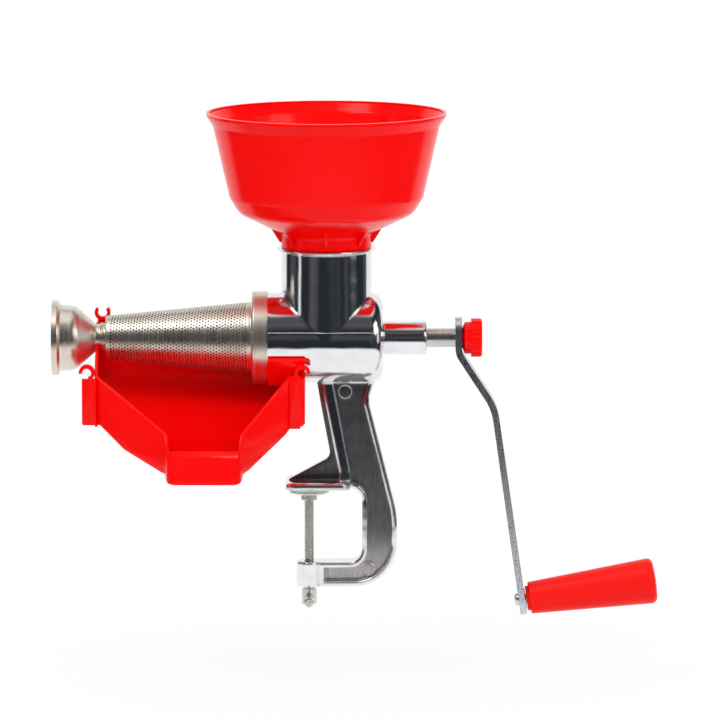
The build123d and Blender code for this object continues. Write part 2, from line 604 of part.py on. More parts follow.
# --- juice tray ---------------------------------------------------------------------------------------------
def tray_plan():
    """Plan of the tray: a basin under the cone that narrows to the spout."""
    return make_face(Polyline(
        (TRAY_LEFT_X, TRAY_BACK_Y), (TRAY_RIGHT_X, TRAY_BACK_Y), (TRAY_RIGHT_X, TRAY_FRONT_Y),
        (TRAY_RIGHT_X - POST_WIDTH, TRAY_FRONT_Y), (SPOUT_RIGHT_X, SPOUT_WALL_Y),
        (SPOUT_RIGHT_X - SPOUT_CORNER, SPOUT_Y), (SPOUT_LEFT_X + SPOUT_CORNER, SPOUT_Y),
        (SPOUT_LEFT_X, SPOUT_WALL_Y), (TRAY_LEFT_X + TRAY_TUCK, TRAY_FRONT_Y),
        (TRAY_LEFT_X, TRAY_FRONT_Y), close=True))


def floor_line():
    """Side line of the floor's upper face, from the back wall to the tip of the spout."""
    return FilletPolyline((TRAY_BACK_Y, FLOOR_BACK_Z), FLOOR_MID,
                          (SPOUT_Y + TRAY_WALL, FLOOR_FRONT_Z), (SPOUT_Y + TRAY_WALL, SPOUT_TIP_Z),
                          radius=[60.0, SPOUT_CURL])


def tray_walls():
    """Upright walls round the basin, open at the spout."""
    dip_z = AXIS_Z - WALL_DIP
    region = make_face(Polyline(
        (TRAY_BACK_Y, WALL_BACK_Z), (WALL_DIP_BACK_Y, dip_z), (WALL_DIP_FRONT_Y, dip_z),
        (TRAY_FRONT_Y, WALL_FRONT_Z), (SPOUT_WALL_Y, WALL_SPOUT_Z),
        (SPOUT_Y, WALL_SPOUT_Z - WALL_LIP_DROP), (SPOUT_Y, SPOUT_TIP_Z),
        (SPOUT_WALL_Y, SPOUT_FOOT_Z), (FLOOR_MID[0], FLOOR_MID[1] - WALL_SKIRT),
        (TRAY_FRONT_Y, POST_FOOT_Z - TRAY_WALL), (TRAY_BACK_Y, FLOOR_BACK_Z - TRAY_WALL),
        close=True))
    ring = tray_plan() - offset(tray_plan(), -TRAY_WALL, kind=Kind.INTERSECTION)
    mouth = Pos((SPOUT_LEFT_X + SPOUT_RIGHT_X) / 2, SPOUT_Y) * Rectangle(
        SPOUT_RIGHT_X - SPOUT_LEFT_X - 2 * (SPOUT_CORNER + TRAY_WALL), 4 * TRAY_WALL)
    walls = extrude(ring - mouth, WALL_BACK_Z)
    return walls & (Pos(TRAY_LEFT_X, 0, 0) * extrude(Plane.YZ * region, TRAY_RIGHT_X - TRAY_LEFT_X))


def tray_floor():
    """Sloping floor that curls over into the spout's lip."""
    outline = Wire(floor_line().edges()).offset_2d(TRAY_WALL, kind=Kind.INTERSECTION,
                                                   side=Side.LEFT, closed=True)
    span = TRAY_RIGHT_X - TRAY_LEFT_X
    floor = Pos(TRAY_LEFT_X, 0, 0) * extrude(Plane.YZ * Face(outline), span)
    return floor & extrude(tray_plan(), WALL_BACK_Z)


def open_ring(inner, outer, open_from, open_to):
    """A flat ring in the XY plane without the sector between two angles in degrees."""
    reach = 2 * outer
    middle = radians((open_from + open_to) / 2)
    half = radians((open_to - open_from) / 2)
    wedge = make_face(Polyline(
        (0, 0), (reach * cos(middle - half), reach * sin(middle - half)),
        (2 * reach * cos(middle), 2 * reach * sin(middle)),
        (reach * cos(middle + half), reach * sin(middle + half)), close=True))
    return Circle(outer) - Circle(inner) - wedge


def neck_clip():
    """C-shaped clip that snaps round the strainer's waist."""
    inner = WAIST_R + SEAT_GAP
    ring = open_ring(inner, inner + NECK_CLIP_WALL, 90 - CLIP_OPENING / 2, 90 + CLIP_OPENING / 2)
    plane = Plane(origin=(TRAY_LEFT_X, 0, AXIS_Z), x_dir=(0, 1, 0), z_dir=(1, 0, 0))
    return extrude(plane * ring, NECK_CLIP_LENGTH)


def barrel_saddle():
    """Curved shell that snaps round the barrel behind the strainer's cup."""
    inner = BARREL_R + SEAT_GAP
    ring = open_ring(inner, inner + SADDLE_WALL, SADDLE_BACK_DEG, 180.0 - SADDLE_FRONT_DEG)
    start = GASKET_X - SHEET + CUP_LENGTH + SEAT_GAP
    plane = Plane(origin=(start, 0, AXIS_Z), x_dir=(0, 1, 0), z_dir=(1, 0, 0))
    saddle = extrude(plane * ring, TRAY_RIGHT_X - start)
    return saddle - rod_z(NECK_X, AXIS_Z, NECK_TOP_Z, BARREL_R + SEAT_GAP)


def guard_hook(x, y, z, open_at):
    """Open hook for the pins of a splash guard, with its axis along Y."""
    ring = open_ring(HOOK_R - HOOK_WALL, HOOK_R, open_at - HOOK_OPENING / 2,
                     open_at + HOOK_OPENING / 2)
    return Pos(x, y, z) * extrude(Plane.XZ * ring, HOOK_WIDTH / 2, both=True)


def corner_post(x):
    """Upright strip at a front corner that carries a hook."""
    height = WALL_FRONT_Z - POST_FOOT_Z
    post = Pos(x, TRAY_FRONT_Y, POST_FOOT_Z + height / 2) * Box(POST_WIDTH, POST_DEPTH, height)
    return fillet(post.edges().filter_by(Axis.Z), POST_ROUND)


def juice_tray():
    """The moulded tray: floor, walls, clip, saddle, posts and hooks in one piece."""
    tray = tray_floor() + tray_walls()
    tray -= rod_x(TRAY_LEFT_X - 1, TRAY_LEFT_X + TRAY_WALL + 1, WAIST_R + SEAT_GAP)
    tray -= rod_x(GASKET_X, TRAY_RIGHT_X + 1, BARREL_R + SEAT_GAP)
    tray += neck_clip() + barrel_saddle()
    left_post = TRAY_LEFT_X - POST_WIDTH / 2 + POST_TUCK
    right_post = TRAY_RIGHT_X - POST_WIDTH / 2 - POST_BACK
    tray += corner_post(left_post) + corner_post(right_post)
    front_z = WALL_FRONT_Z + HOOK_R - HOOK_SINK
    tray += guard_hook(left_post + HOOK_LEFT, TRAY_FRONT_Y, front_z, 235)
    tray += guard_hook(right_post + HOOK_RIGHT, TRAY_FRONT_Y, front_z, 305)
    tray += guard_hook(TRAY_LEFT_X + HOOK_BACK_IN, TRAY_BACK_Y - HOOK_WIDTH / 2,
                       WALL_BACK_Z + HOOK_R - HOOK_SINK, 90)
    return tray


# --- clamp --------------------------------------------------------------------------------------------------
def clamp_screw():
    """Screw with a turned-down tip in the pad and a head with a cross hole."""
    tip_z = -PAD_GAP - PAD_THICK - RUNNING_GAP
    shoulder_z = -PAD_GAP - PAD_THICK - PAD_SOCKET - STEP_GAP
    body = rod_z(0, shoulder_z, tip_z, SCREW_TIP_R) + rod_z(0, HEAD_TOP_Z, shoulder_z, SCREW_R)
    head = rod_z(0, HEAD_TOP_Z - SCREW_HEAD, HEAD_TOP_Z, SCREW_HEAD_R)
    body += chamfer(head.edges().filter_by(GeomType.CIRCLE), 1.0)
    hole = Pos(0, 0, CROSS_HOLE_Z) * Rot(90, 0, 0) * Cylinder(BAR_R + RUNNING_GAP, 3 * SCREW_HEAD_R)
    return body - hole


def clamp_pad():
    """Round pad with a socket in which the screw's tip turns."""
    disc = rod_z(0, -PAD_GAP - PAD_THICK, -PAD_GAP, PAD_R)
    disc = fillet(disc.edges().filter_by(GeomType.CIRCLE).sort_by(Axis.Z)[0], PAD_THICK * 0.6)
    top = -PAD_GAP - PAD_THICK
    socket = rod_z(0, top - PAD_SOCKET, top, PAD_SOCKET_R)
    socket = chamfer(socket.edges().filter_by(GeomType.CIRCLE).sort_by(Axis.Z)[0], 1.0)
    return disc + socket - rod_z(0, top - PAD_SOCKET - 1, top, SCREW_TIP_R + RUNNING_GAP)


def clamp_bar():
    """Turning bar with upset ends that slides in the screw's head."""
    bar = Pos(0, 0, CROSS_HOLE_Z) * Rot(90, 0, 0) * Cylinder(BAR_R, BAR_LENGTH)
    for side in (-1, 1):
        end = Rot(90, 0, 0) * Cylinder(BAR_END_R, BAR_END)
        end = fillet(end.edges().filter_by(GeomType.CIRCLE), BAR_END * 0.3)
        bar += Pos(0, side * (BAR_LENGTH / 2), CROSS_HOLE_Z) * end
    return bar


PIECES = (
    body_casting, hopper, strainer_cone, cone_band, outlet_bell, cone_gasket, auger, auger_shaft,
    drive_pin, thrust_washer, auger_spring, shaft_bush, shaft_seal, crank_arm, crank_knob,
    knob_insert, grip, grip_spindle, grip_washer, grip_end_screw, clamp_screw, clamp_pad,
    clamp_bar, juice_tray,
)

if __name__ == "__main__":
    os.makedirs("parts", exist_ok=True)
    for piece in PIECES:
        export_step(piece(), f"parts/{piece.__name__}.step")
        print("wrote", piece.__name__)
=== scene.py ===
# %% [markdown]
# # A hand-cranked tomato strainer in a white studio
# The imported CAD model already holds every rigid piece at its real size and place. This lesson
# dresses it: a camera and a bright studio, one procedural finish for each kind of metal, plastic
# and rubber, and new meshes for the pieces whose fine shape the solids leave out.

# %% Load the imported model
import json
import math

import bmesh
import bpy
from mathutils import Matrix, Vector


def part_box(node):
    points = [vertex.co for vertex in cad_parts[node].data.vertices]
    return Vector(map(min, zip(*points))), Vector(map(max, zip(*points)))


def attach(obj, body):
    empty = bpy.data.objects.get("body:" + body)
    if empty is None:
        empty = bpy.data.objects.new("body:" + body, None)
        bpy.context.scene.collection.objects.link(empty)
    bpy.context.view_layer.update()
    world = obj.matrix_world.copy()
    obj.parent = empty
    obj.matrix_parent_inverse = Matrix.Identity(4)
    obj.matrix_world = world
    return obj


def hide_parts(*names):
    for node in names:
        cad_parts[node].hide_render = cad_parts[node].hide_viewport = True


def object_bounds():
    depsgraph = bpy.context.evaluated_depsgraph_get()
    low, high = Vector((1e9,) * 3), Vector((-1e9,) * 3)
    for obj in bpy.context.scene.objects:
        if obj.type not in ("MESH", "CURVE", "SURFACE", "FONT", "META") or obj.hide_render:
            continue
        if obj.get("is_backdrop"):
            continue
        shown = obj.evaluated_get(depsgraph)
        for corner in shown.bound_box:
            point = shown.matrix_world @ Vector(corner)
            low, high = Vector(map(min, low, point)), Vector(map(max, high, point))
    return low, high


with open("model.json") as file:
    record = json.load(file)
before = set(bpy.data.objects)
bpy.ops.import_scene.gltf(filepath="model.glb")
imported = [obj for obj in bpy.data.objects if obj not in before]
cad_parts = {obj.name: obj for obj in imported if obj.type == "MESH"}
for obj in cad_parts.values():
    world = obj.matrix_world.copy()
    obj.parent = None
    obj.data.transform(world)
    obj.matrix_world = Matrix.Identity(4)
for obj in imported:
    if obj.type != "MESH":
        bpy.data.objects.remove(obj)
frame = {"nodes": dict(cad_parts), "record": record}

AXIS_Z = 0.120                                # height of the auger's axis
cad_low, cad_high = (Vector(corner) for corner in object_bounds())
print("CAD box in mm:", [round(1000 * side, 1) for side in cad_high - cad_low])

# %% [markdown]
# ## Camera
# The photograph is taken from the user's side, from slightly above, with a long lens: the hopper
# and the tray show almost no perspective. A lens of 320 mm from five metres away gives the same
# flat view. The tilt is read from the hopper's rim, which shows as a thin ellipse.

# %% Camera
def place_camera(target, distance, tilt_deg, lens):
    """Aim a camera at a point from the front and from tilt_deg above it."""
    data = bpy.data.cameras.new("studio_camera")
    data.lens, data.sensor_width = lens, 36.0
    camera = bpy.data.objects.new("studio_camera", data)
    bpy.context.scene.collection.objects.link(camera)
    tilt = math.radians(tilt_deg)
    camera.location = Vector(target) + distance * Vector((0, -math.cos(tilt), math.sin(tilt)))
    camera.rotation_euler = (math.pi / 2 - tilt, 0, 0)
    bpy.context.scene.camera = camera
    return camera


camera = place_camera(target=(0.0408, 0.0, 0.102), distance=5.12, tilt_deg=8.0, lens=320.0)
print("camera at", [round(v, 3) for v in camera.location])

# %% [markdown]
# ## Helpers for node graphs
# Each finish is a small graph of nodes. These helpers add a node, set its values and join its
# inputs in one line, so that a material reads like a recipe.

# %% Node helpers
def add_node(tree, kind, inputs=None, **settings):
    """Add a node, set its properties, then set or link its inputs by name or number."""
    node = tree.nodes.new(kind)
    for name, value in settings.items():
        setattr(node, name, value)
    for name, value in (inputs or {}).items():
        if isinstance(value, bpy.types.NodeSocket):
            tree.links.new(value, node.inputs[name])
        else:
            node.inputs[name].default_value = value
    return node


def math_node(tree, operation, *values):
    """A Math node, given its operation and its inputs in order."""
    node = add_node(tree, "ShaderNodeMath", dict(enumerate(values)), operation=operation)
    return node.outputs[0]


def product(tree, *factors):
    """The product of several masks, joined by Math nodes."""
    total = factors[0]
    for factor in factors[1:]:
        total = math_node(tree, "MULTIPLY", total, factor)
    return total


def map_range(tree, value, low, high, to_low=0.0, to_high=1.0):
    """A smooth Map Range: low and high may be given in falling order, for a mask that fades."""
    node = add_node(tree, "ShaderNodeMapRange", {
        "Value": value, "From Min": low, "From Max": high, "To Min": to_low, "To Max": to_high},
        interpolation_type="SMOOTHSTEP")
    return node.outputs["Result"]


def mix_colour(tree, share, first, second):
    """A colour mix: share 0 gives the first colour, share 1 the second."""
    node = add_node(tree, "ShaderNodeMix", data_type="RGBA")
    for socket, value in ((node.inputs[0], share), (node.inputs[6], first), (node.inputs[7], second)):
        if isinstance(value, bpy.types.NodeSocket):
            tree.links.new(value, socket)
        else:
            socket.default_value = value
    return node.outputs[2]


def new_group(name, inputs, outputs):
    """A shader node group with float or vector inputs and outputs, by name."""
    group = bpy.data.node_groups.new(name, "ShaderNodeTree")
    for label, value in inputs.items():
        kind = "NodeSocketVector" if isinstance(value, tuple) else "NodeSocketFloat"
        socket = group.interface.new_socket(name=label, in_out="INPUT", socket_type=kind)
        socket.default_value = value
    for label in outputs:
        group.interface.new_socket(name=label, in_out="OUTPUT", socket_type="NodeSocketFloat")
    return group, group.nodes.new("NodeGroupInput"), group.nodes.new("NodeGroupOutput")


def use_group(tree, group, **inputs):
    """Place a node group in a material with its own values."""
    node = tree.nodes.new("ShaderNodeGroup")
    node.node_tree = group
    for label, value in inputs.items():
        socket = node.inputs[label.replace("_", " ")]
        if isinstance(value, bpy.types.NodeSocket):
            tree.links.new(value, socket)
        else:
            socket.default_value = value
    return node


def around_axis(tree, place):
    """Height over the auger's axis and distance from it, for a place split into X, Y and Z."""
    up = math_node(tree, "SUBTRACT", place.outputs["Z"], AXIS_Z)
    squares = math_node(tree, "ADD", product(tree, place.outputs["Y"], place.outputs["Y"]),
                        product(tree, up, up))
    return up, math_node(tree, "SQRT", squares)


# %% [markdown]
# ## Grain: fine streaks and specks
# Drawn, spun or brushed metal and moulded plastic all have a fine grain. It is noise, stretched
# along one direction. The group takes the stretch as a vector, so that the same noise gives
# streaks along a bar, rings on a turned shaft or an even orange peel on plastic.

# %% Grain group
grain, inside, result = new_group("grain", {
    "Stretch": (1.0, 1.0, 1.0), "Scale": 400.0, "Detail": 3.0, "Low": 0.35, "High": 0.65},
    ("Value",))
where = add_node(grain, "ShaderNodeTexCoord")
stretched = add_node(grain, "ShaderNodeVectorMath", {
    0: where.outputs["Object"], 1: inside.outputs["Stretch"]}, operation="MULTIPLY")
noise = add_node(grain, "ShaderNodeTexNoise", {
    "Vector": stretched.outputs[0], "Scale": inside.outputs["Scale"],
    "Detail": inside.outputs["Detail"], "Roughness": 0.55})
spread = add_node(grain, "ShaderNodeMapRange", {
    "Value": noise.outputs["Fac"], "From Min": inside.outputs["Low"],
    "From Max": inside.outputs["High"]})
grain.links.new(spread.outputs["Result"], result.inputs["Value"])
print("grain group:", len(grain.nodes), "nodes")

# %% [markdown]
# ## Edges: where handling polishes or wears
# A Bevel node bends the shading normal near an edge. Compared with the true normal, it tells
# how near an edge a point lies. Noise breaks the mask up, because nothing wears evenly.

# %% Edge group
edges, inside, result = new_group("edges", {"Width": 0.0008, "Break up": 300.0}, ("Mask",))
bevel = add_node(edges, "ShaderNodeBevel", {"Radius": inside.outputs["Width"]}, samples=4)
shape = add_node(edges, "ShaderNodeNewGeometry")
agree = add_node(edges, "ShaderNodeVectorMath", {
    0: bevel.outputs[0], 1: shape.outputs["Normal"]}, operation="DOT_PRODUCT")
near = map_range(edges, agree.outputs["Value"], 0.995, 0.90)
where = add_node(edges, "ShaderNodeTexCoord")
patches = add_node(edges, "ShaderNodeTexNoise", {
    "Vector": where.outputs["Object"], "Scale": inside.outputs["Break up"], "Detail": 2.0})
broken = map_range(edges, patches.outputs["Fac"], 0.35, 0.6)
edges.links.new(math_node(edges, "MULTIPLY", near, broken), result.inputs["Mask"])
print("edge group:", len(edges.nodes), "nodes")

# %% [markdown]
# ## Rings: turned and spun metal
# A lathe or a spinning tool leaves fine rings round the auger's axis. The rings depend on the
# distance along the axis and a little on the distance from it, and hardly on the angle.

# %% Ring group
RING_DRIFT = 0.0006                           # how far the noise drifts in a radian round the axis
rings, inside, result = new_group("rings", {"Scale": 900.0}, ("Value",))
where = add_node(rings, "ShaderNodeTexCoord")
apart = add_node(rings, "ShaderNodeSeparateXYZ", {0: where.outputs["Object"]})
up, radius = around_axis(rings, apart)
angle = math_node(rings, "ARCTAN2", up, apart.outputs["Y"])
along = add_node(rings, "ShaderNodeCombineXYZ", {
    "X": apart.outputs["X"], "Y": radius, "Z": product(rings, angle, RING_DRIFT)})
noise = add_node(rings, "ShaderNodeTexNoise", {
    "Vector": along.outputs[0], "Scale": inside.outputs["Scale"], "Detail": 2.0})
rings.links.new(map_range(rings, noise.outputs["Fac"], 0.35, 0.65), result.inputs["Value"])
print("ring group:", len(rings.nodes), "nodes")

# %% [markdown]
# ## A start for every material
# Every finish ends in one Principled shader. Numbers that are the same all over the surface are
# set on it directly, and only what varies is linked.

# %% Material start
def new_material(name, colour, metallic, roughness):
    """A material with a Principled shader: returns the material, its tree and the shader."""
    material = bpy.data.materials.new(name)
    material.use_nodes = True
    tree = material.node_tree
    shader = tree.nodes["Principled BSDF"]
    shader.inputs["Base Color"].default_value = (*colour, 1.0)
    shader.inputs["Metallic"].default_value = metallic
    shader.inputs["Roughness"].default_value = roughness
    material.diffuse_color = (*colour, 1.0)
    return material, tree, shader


def add_bump(tree, shader, height, distance):
    """Feed a height into a Bump node with a real depth in metres, and return the node."""
    bump = add_node(tree, "ShaderNodeBump", {"Height": height, "Distance": distance})
    tree.links.new(bump.outputs[0], shader.inputs["Normal"])
    return bump


finishes = {}

# %% [markdown]
# ## Polished casting
# The body is cast aluminium, ground and polished, so it mirrors the studio with a slight wobble:
# the polishing wheel never leaves a casting truly flat. The webs of the leg lie too deep for the
# wheel. They stay darker and rougher, with brushed streaks down the leg. A faint parting line
# runs along the barrel. A Bevel node bends the normals near the edges, because the polishing
# rounds them by about three millimetres.

# %% Cast aluminium
WEB_FACE = (0.0051, 0.0049)                   # the web's mask ends at this distance from the middle
WEB_TOP = (0.092, 0.088)                      # it ends under the barrel, at this height
ARM_WEB = (-0.030, -0.066)                    # the lower arm's web grows brighter between these
PARTING_Z, PARTING_WIDTH = 0.1285, (0.00025, 0.00005)
PARTING_SIDE = (0.030, 0.032)                 # the line shows this far from the middle
EDGE_ROUND, POLISH_DEPTH = 0.0032, 0.0004

material, tree, shader = new_material("cast_aluminium", (0.84, 0.84, 0.86), 1.0, 0.09)
where = add_node(tree, "ShaderNodeTexCoord")
apart = add_node(tree, "ShaderNodeSeparateXYZ", {0: where.outputs["Object"]})
facing = add_node(tree, "ShaderNodeSeparateXYZ", {0: where.outputs["Normal"]})
sideways = map_range(tree, math_node(tree, "ABSOLUTE", facing.outputs["Y"]), 0.85, 0.98)
deep = map_range(tree, math_node(tree, "ABSOLUTE", apart.outputs["Y"]), *WEB_FACE)
low_down = map_range(tree, apart.outputs["Z"], *WEB_TOP)
web = product(tree, sideways, deep, low_down)
streaks = use_group(tree, grain, Stretch=(1.0, 1.0, 0.12), Scale=900.0, Detail=4.0)
dull = use_group(tree, grain, Scale=60.0, Detail=5.0, Low=0.4, High=0.7)
web_colour = mix_colour(tree, streaks.outputs[0], (0.15, 0.155, 0.16, 1), (0.205, 0.21, 0.215, 1))
arm_colour = mix_colour(tree, streaks.outputs[0], (0.50, 0.49, 0.48, 1), (0.62, 0.61, 0.60, 1))
web_colour = mix_colour(tree, map_range(tree, apart.outputs["Z"], *ARM_WEB), web_colour, arm_colour)
clean = mix_colour(tree, dull.outputs[0], (0.86, 0.86, 0.88, 1), (0.78, 0.78, 0.80, 1))
tree.links.new(mix_colour(tree, web, clean, web_colour), shader.inputs["Base Color"])
rough = math_node(tree, "ADD", product(tree, dull.outputs[0], 0.05), 0.07)
rough = math_node(tree, "ADD", rough, product(tree, web, 0.26))
tree.links.new(rough, shader.inputs["Roughness"])
wobble = add_node(tree, "ShaderNodeTexNoise", {
    "Vector": where.outputs["Object"], "Scale": 55.0, "Detail": 1.0})
line = math_node(tree, "ABSOLUTE", math_node(tree, "SUBTRACT", apart.outputs["Z"], PARTING_Z))
outer = map_range(tree, math_node(tree, "ABSOLUTE", apart.outputs["Y"]), *PARTING_SIDE)
parting = product(tree, map_range(tree, line, *PARTING_WIDTH), outer)
height = math_node(tree, "ADD", product(tree, wobble.outputs["Fac"], 0.5),
                   product(tree, parting, 0.25))
height = math_node(tree, "ADD", height, product(tree, streaks.outputs[0], web, 0.12))
bump = add_bump(tree, shader, height, POLISH_DEPTH)
rounded = add_node(tree, "ShaderNodeBevel", {"Radius": EDGE_ROUND}, samples=6)
tree.links.new(rounded.outputs[0], bump.inputs["Normal"])
finishes["cast_aluminium"] = material

# %% [markdown]
# ## Red plastic
# Hopper, tray and knob are injection moulded in one saturated red with a good gloss. Close up,
# such a moulding has a faint orange peel, slight flow clouds in its colour and a few rub marks.
# Its mirror part is kept low, or the white studio would wash the red out.

# %% Red plastic
RED_SPECULAR = 0.16


def red_plastic(name, colour, second, gloss, peel):
    """A moulded red plastic: two close reds in soft clouds and a fine orange peel."""
    material, tree, shader = new_material(name, colour, 0.0, gloss)
    clouds = use_group(tree, grain, Scale=14.0, Detail=3.0, Low=0.30, High=0.75)
    tree.links.new(mix_colour(tree, clouds.outputs[0], (*colour, 1), (*second, 1)),
                   shader.inputs["Base Color"])
    rubs = use_group(tree, grain, Scale=160.0, Detail=4.0, Low=0.45, High=0.8)
    tree.links.new(math_node(tree, "MULTIPLY_ADD", rubs.outputs[0], 0.08, gloss),
                   shader.inputs["Roughness"])
    skin = use_group(tree, grain, Scale=900.0, Detail=1.0, Low=0.2, High=0.8)
    add_bump(tree, shader, skin.outputs[0], peel)
    shader.inputs["Specular IOR Level"].default_value = RED_SPECULAR
    return material


finishes["red_plastic"] = red_plastic("red_plastic", (0.98, 0.002, 0.001), (0.95, 0.001, 0.001),
                                      gloss=0.16, peel=0.00001)
finishes["red_grip"] = red_plastic("red_grip", (0.93, 0.006, 0.003), (0.88, 0.005, 0.003),
                                   gloss=0.36, peel=0.00004)

# %% [markdown]
# ## Stainless sheet
# Cone, band and bell are spun and pressed from thin stainless sheet. Next to the aluminium it is
# warmer, and fine rings from the tool blur its reflections. Heat from the weld leaves it a
# little yellow in places. Inside the strainer cone little light comes back out, so its inner
# wall and the walls of its holes are darkened: the mask is the depth below the cone's outside.

# %% Stainless sheet and turned steel
SMALL_R = 0.0176                              # outside radius of the cone's small end
INNER_WALL = (0.00008, 0.0003)                # the mask grows between these depths
CONE_END_BLEND = 0.0005
cone_low, cone_high = (Vector(corner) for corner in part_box("strainer_cone"))
slope = ((cone_high.z - cone_low.z) / 2 - SMALL_R) / (cone_high.x - cone_low.x)


def turned_metal(name, colour, second, gloss, ring_scale, ring_depth):
    """A metal with fine rings round the auger's axis and clouds of a second colour."""
    material, tree, shader = new_material(name, colour, 1.0, gloss)
    clouds = use_group(tree, grain, Scale=45.0, Detail=4.0, Low=0.38, High=0.68)
    tree.links.new(mix_colour(tree, clouds.outputs[0], (*colour, 1), (*second, 1)),
                   shader.inputs["Base Color"])
    tool = use_group(tree, rings, Scale=ring_scale)
    rough = math_node(tree, "MULTIPLY_ADD", tool.outputs[0], 0.10, gloss)
    tree.links.new(math_node(tree, "MULTIPLY_ADD", clouds.outputs[0], 0.06, rough),
                   shader.inputs["Roughness"])
    add_bump(tree, shader, tool.outputs[0], ring_depth)
    return material


def paint_cone_inner_shade(material):
    """Paint shade on the strainer cone's inner wall and on the walls of its holes."""
    tree = material.node_tree
    shader = tree.nodes["Principled BSDF"]
    where = add_node(tree, "ShaderNodeTexCoord")
    apart = add_node(tree, "ShaderNodeSeparateXYZ", {0: where.outputs["Object"]})
    radius = around_axis(tree, apart)[1]
    along = math_node(tree, "SUBTRACT", apart.outputs["X"], cone_low.x)
    outside = math_node(tree, "MULTIPLY_ADD", along, slope, SMALL_R)
    inside = map_range(tree, math_node(tree, "SUBTRACT", outside, radius), *INNER_WALL)
    on_cone = product(tree, map_range(tree, along, 0.0, CONE_END_BLEND),
                      map_range(tree, apart.outputs["X"], cone_high.x, cone_high.x - CONE_END_BLEND))
    # painted shade: a near-black colour on the inner wall and the hole walls, where little light
    # comes back out
    colour = shader.inputs["Base Color"].links[0].from_socket
    tree.links.new(mix_colour(tree, product(tree, inside, on_cone), colour,
                              (0.06, 0.055, 0.05, 1)), shader.inputs["Base Color"])


finishes["strainer_steel"] = turned_metal("strainer_steel", (0.80, 0.76, 0.68), (0.70, 0.64, 0.52),
                                          gloss=0.27, ring_scale=420.0, ring_depth=0.000003)
paint_cone_inner_shade(finishes["strainer_steel"])
finishes["shaft_steel"] = turned_metal("shaft_steel", (0.66, 0.65, 0.63), (0.58, 0.56, 0.54),
                                       gloss=0.22, ring_scale=1200.0, ring_depth=0.000004)
finishes["insert_brass"] = turned_metal("insert_brass", (0.72, 0.50, 0.20), (0.62, 0.42, 0.16),
                                        gloss=0.25, ring_scale=1200.0, ring_depth=0.000004)

# %% [markdown]
# ## Plated steel
# The crank's flat bar and the clamp's hardware are plated. The plating is bright on the faces,
# and along the edges it is thin: it shows dark specks where the steel comes through.

# %% Plated steel
def plated_steel(name, colour, worn, gloss, edge_width):
    """Bright plating with dark, rough wear along the edges and fine streaks."""
    material, tree, shader = new_material(name, colour, 1.0, gloss)
    rim = use_group(tree, edges, Width=edge_width, Break_up=700.0)
    specks = use_group(tree, grain, Scale=900.0, Detail=2.0, Low=0.52, High=0.62)
    share = math_node(tree, "MAXIMUM", rim.outputs[0], product(tree, specks.outputs[0], 0.42))
    tree.links.new(mix_colour(tree, share, (*colour, 1), (*worn, 1)), shader.inputs["Base Color"])
    streaks = use_group(tree, grain, Stretch=(1.0, 1.0, 0.1), Scale=700.0, Detail=3.0)
    rough = math_node(tree, "MULTIPLY_ADD", streaks.outputs[0], 0.08, gloss)
    tree.links.new(math_node(tree, "MULTIPLY_ADD", share, 0.3, rough), shader.inputs["Roughness"])
    add_bump(tree, shader, math_node(tree, "SUBTRACT", streaks.outputs[0], share), 0.00003)
    return material


finishes["plated_bar"] = plated_steel("plated_bar", (0.66, 0.69, 0.74), (0.05, 0.05, 0.05),
                                      gloss=0.20, edge_width=0.0012)
finishes["plated_hardware"] = plated_steel("plated_hardware", (0.74, 0.74, 0.71),
                                           (0.30, 0.28, 0.24), gloss=0.22, edge_width=0.0005)

# %% [markdown]
# ## Nylon and rubber
# The auger and the bush are nylon and the seal is black rubber. They are soft to the light:
# matt, with a fine grain and a little staining. The auger is the darker of the two: its colour is
# partly stains from its work and partly painted shade, so that the cone's holes look dark.

# %% Nylon and rubber
def matt_moulding(name, colour, stained, gloss):
    """A matt moulding with a fine grain and soft stains."""
    material, tree, shader = new_material(name, colour, 0.0, gloss)
    stains = use_group(tree, grain, Scale=40.0, Detail=5.0, Low=0.45, High=0.75)
    tree.links.new(mix_colour(tree, stains.outputs[0], (*colour, 1), (*stained, 1)),
                   shader.inputs["Base Color"])
    skin = use_group(tree, grain, Scale=1200.0, Detail=2.0)
    tree.links.new(math_node(tree, "MULTIPLY_ADD", skin.outputs[0], 0.1, gloss),
                   shader.inputs["Roughness"])
    add_bump(tree, shader, skin.outputs[0], 0.00004)
    return material


# painted shade in part: the auger's base and stain colours are kept dark so that the cone's holes
# look dark
finishes["auger_nylon"] = matt_moulding("auger_nylon", (0.60, 0.57, 0.52), (0.46, 0.36, 0.28),
                                        gloss=0.45)
finishes["bush_nylon"] = matt_moulding("bush_nylon", (0.78, 0.77, 0.72), (0.66, 0.62, 0.55),
                                       gloss=0.5)
finishes["seal_rubber"] = matt_moulding("seal_rubber", (0.03, 0.03, 0.03), (0.06, 0.05, 0.05),
                                        gloss=0.6)
print(len(finishes), "finishes:", ", ".join(sorted(finishes)))

# %% [markdown]
# ## Finishes on the CAD pieces
# The record gives each piece a material slot. Each CAD piece takes the finish of its slot, so
# that pieces of one material match.

# %% Assign the finishes
slot_of = {part["node"]: part["material_slot"] for part in frame["record"]["subparts"]}
for name, slot in slot_of.items():
    piece = frame["nodes"][name]
    piece.data.materials.clear()
    piece.data.materials.append(finishes[slot])
print(len(slot_of), "CAD pieces dressed")

# %% [markdown]
# ## Perforated cone
# The strainer is a sheet punched with a few thousand small holes, rolled into a cone and welded.
# A hole pattern painted on a plain cone would look flat at the outline and where light falls
# through. So the sheet is made as in the factory. One cell with one hole is modelled, arrays
# repeat it in staggered rows, the flat sheet is trimmed to the cone's flat development, rolled
# up, and only then given its thickness.

# %% One punched cell
SHEET = 0.0008                                # thickness of the stainless sheet
HOLE_R = 0.00074
PITCH, ROW = 0.00265, 0.002295                # from hole to hole, and from row to row
MARGIN = 0.0018                               # plain rim at each end of the cone
MERGE, FINE_MERGE = 0.00001, 0.000005         # points closer than this are made one


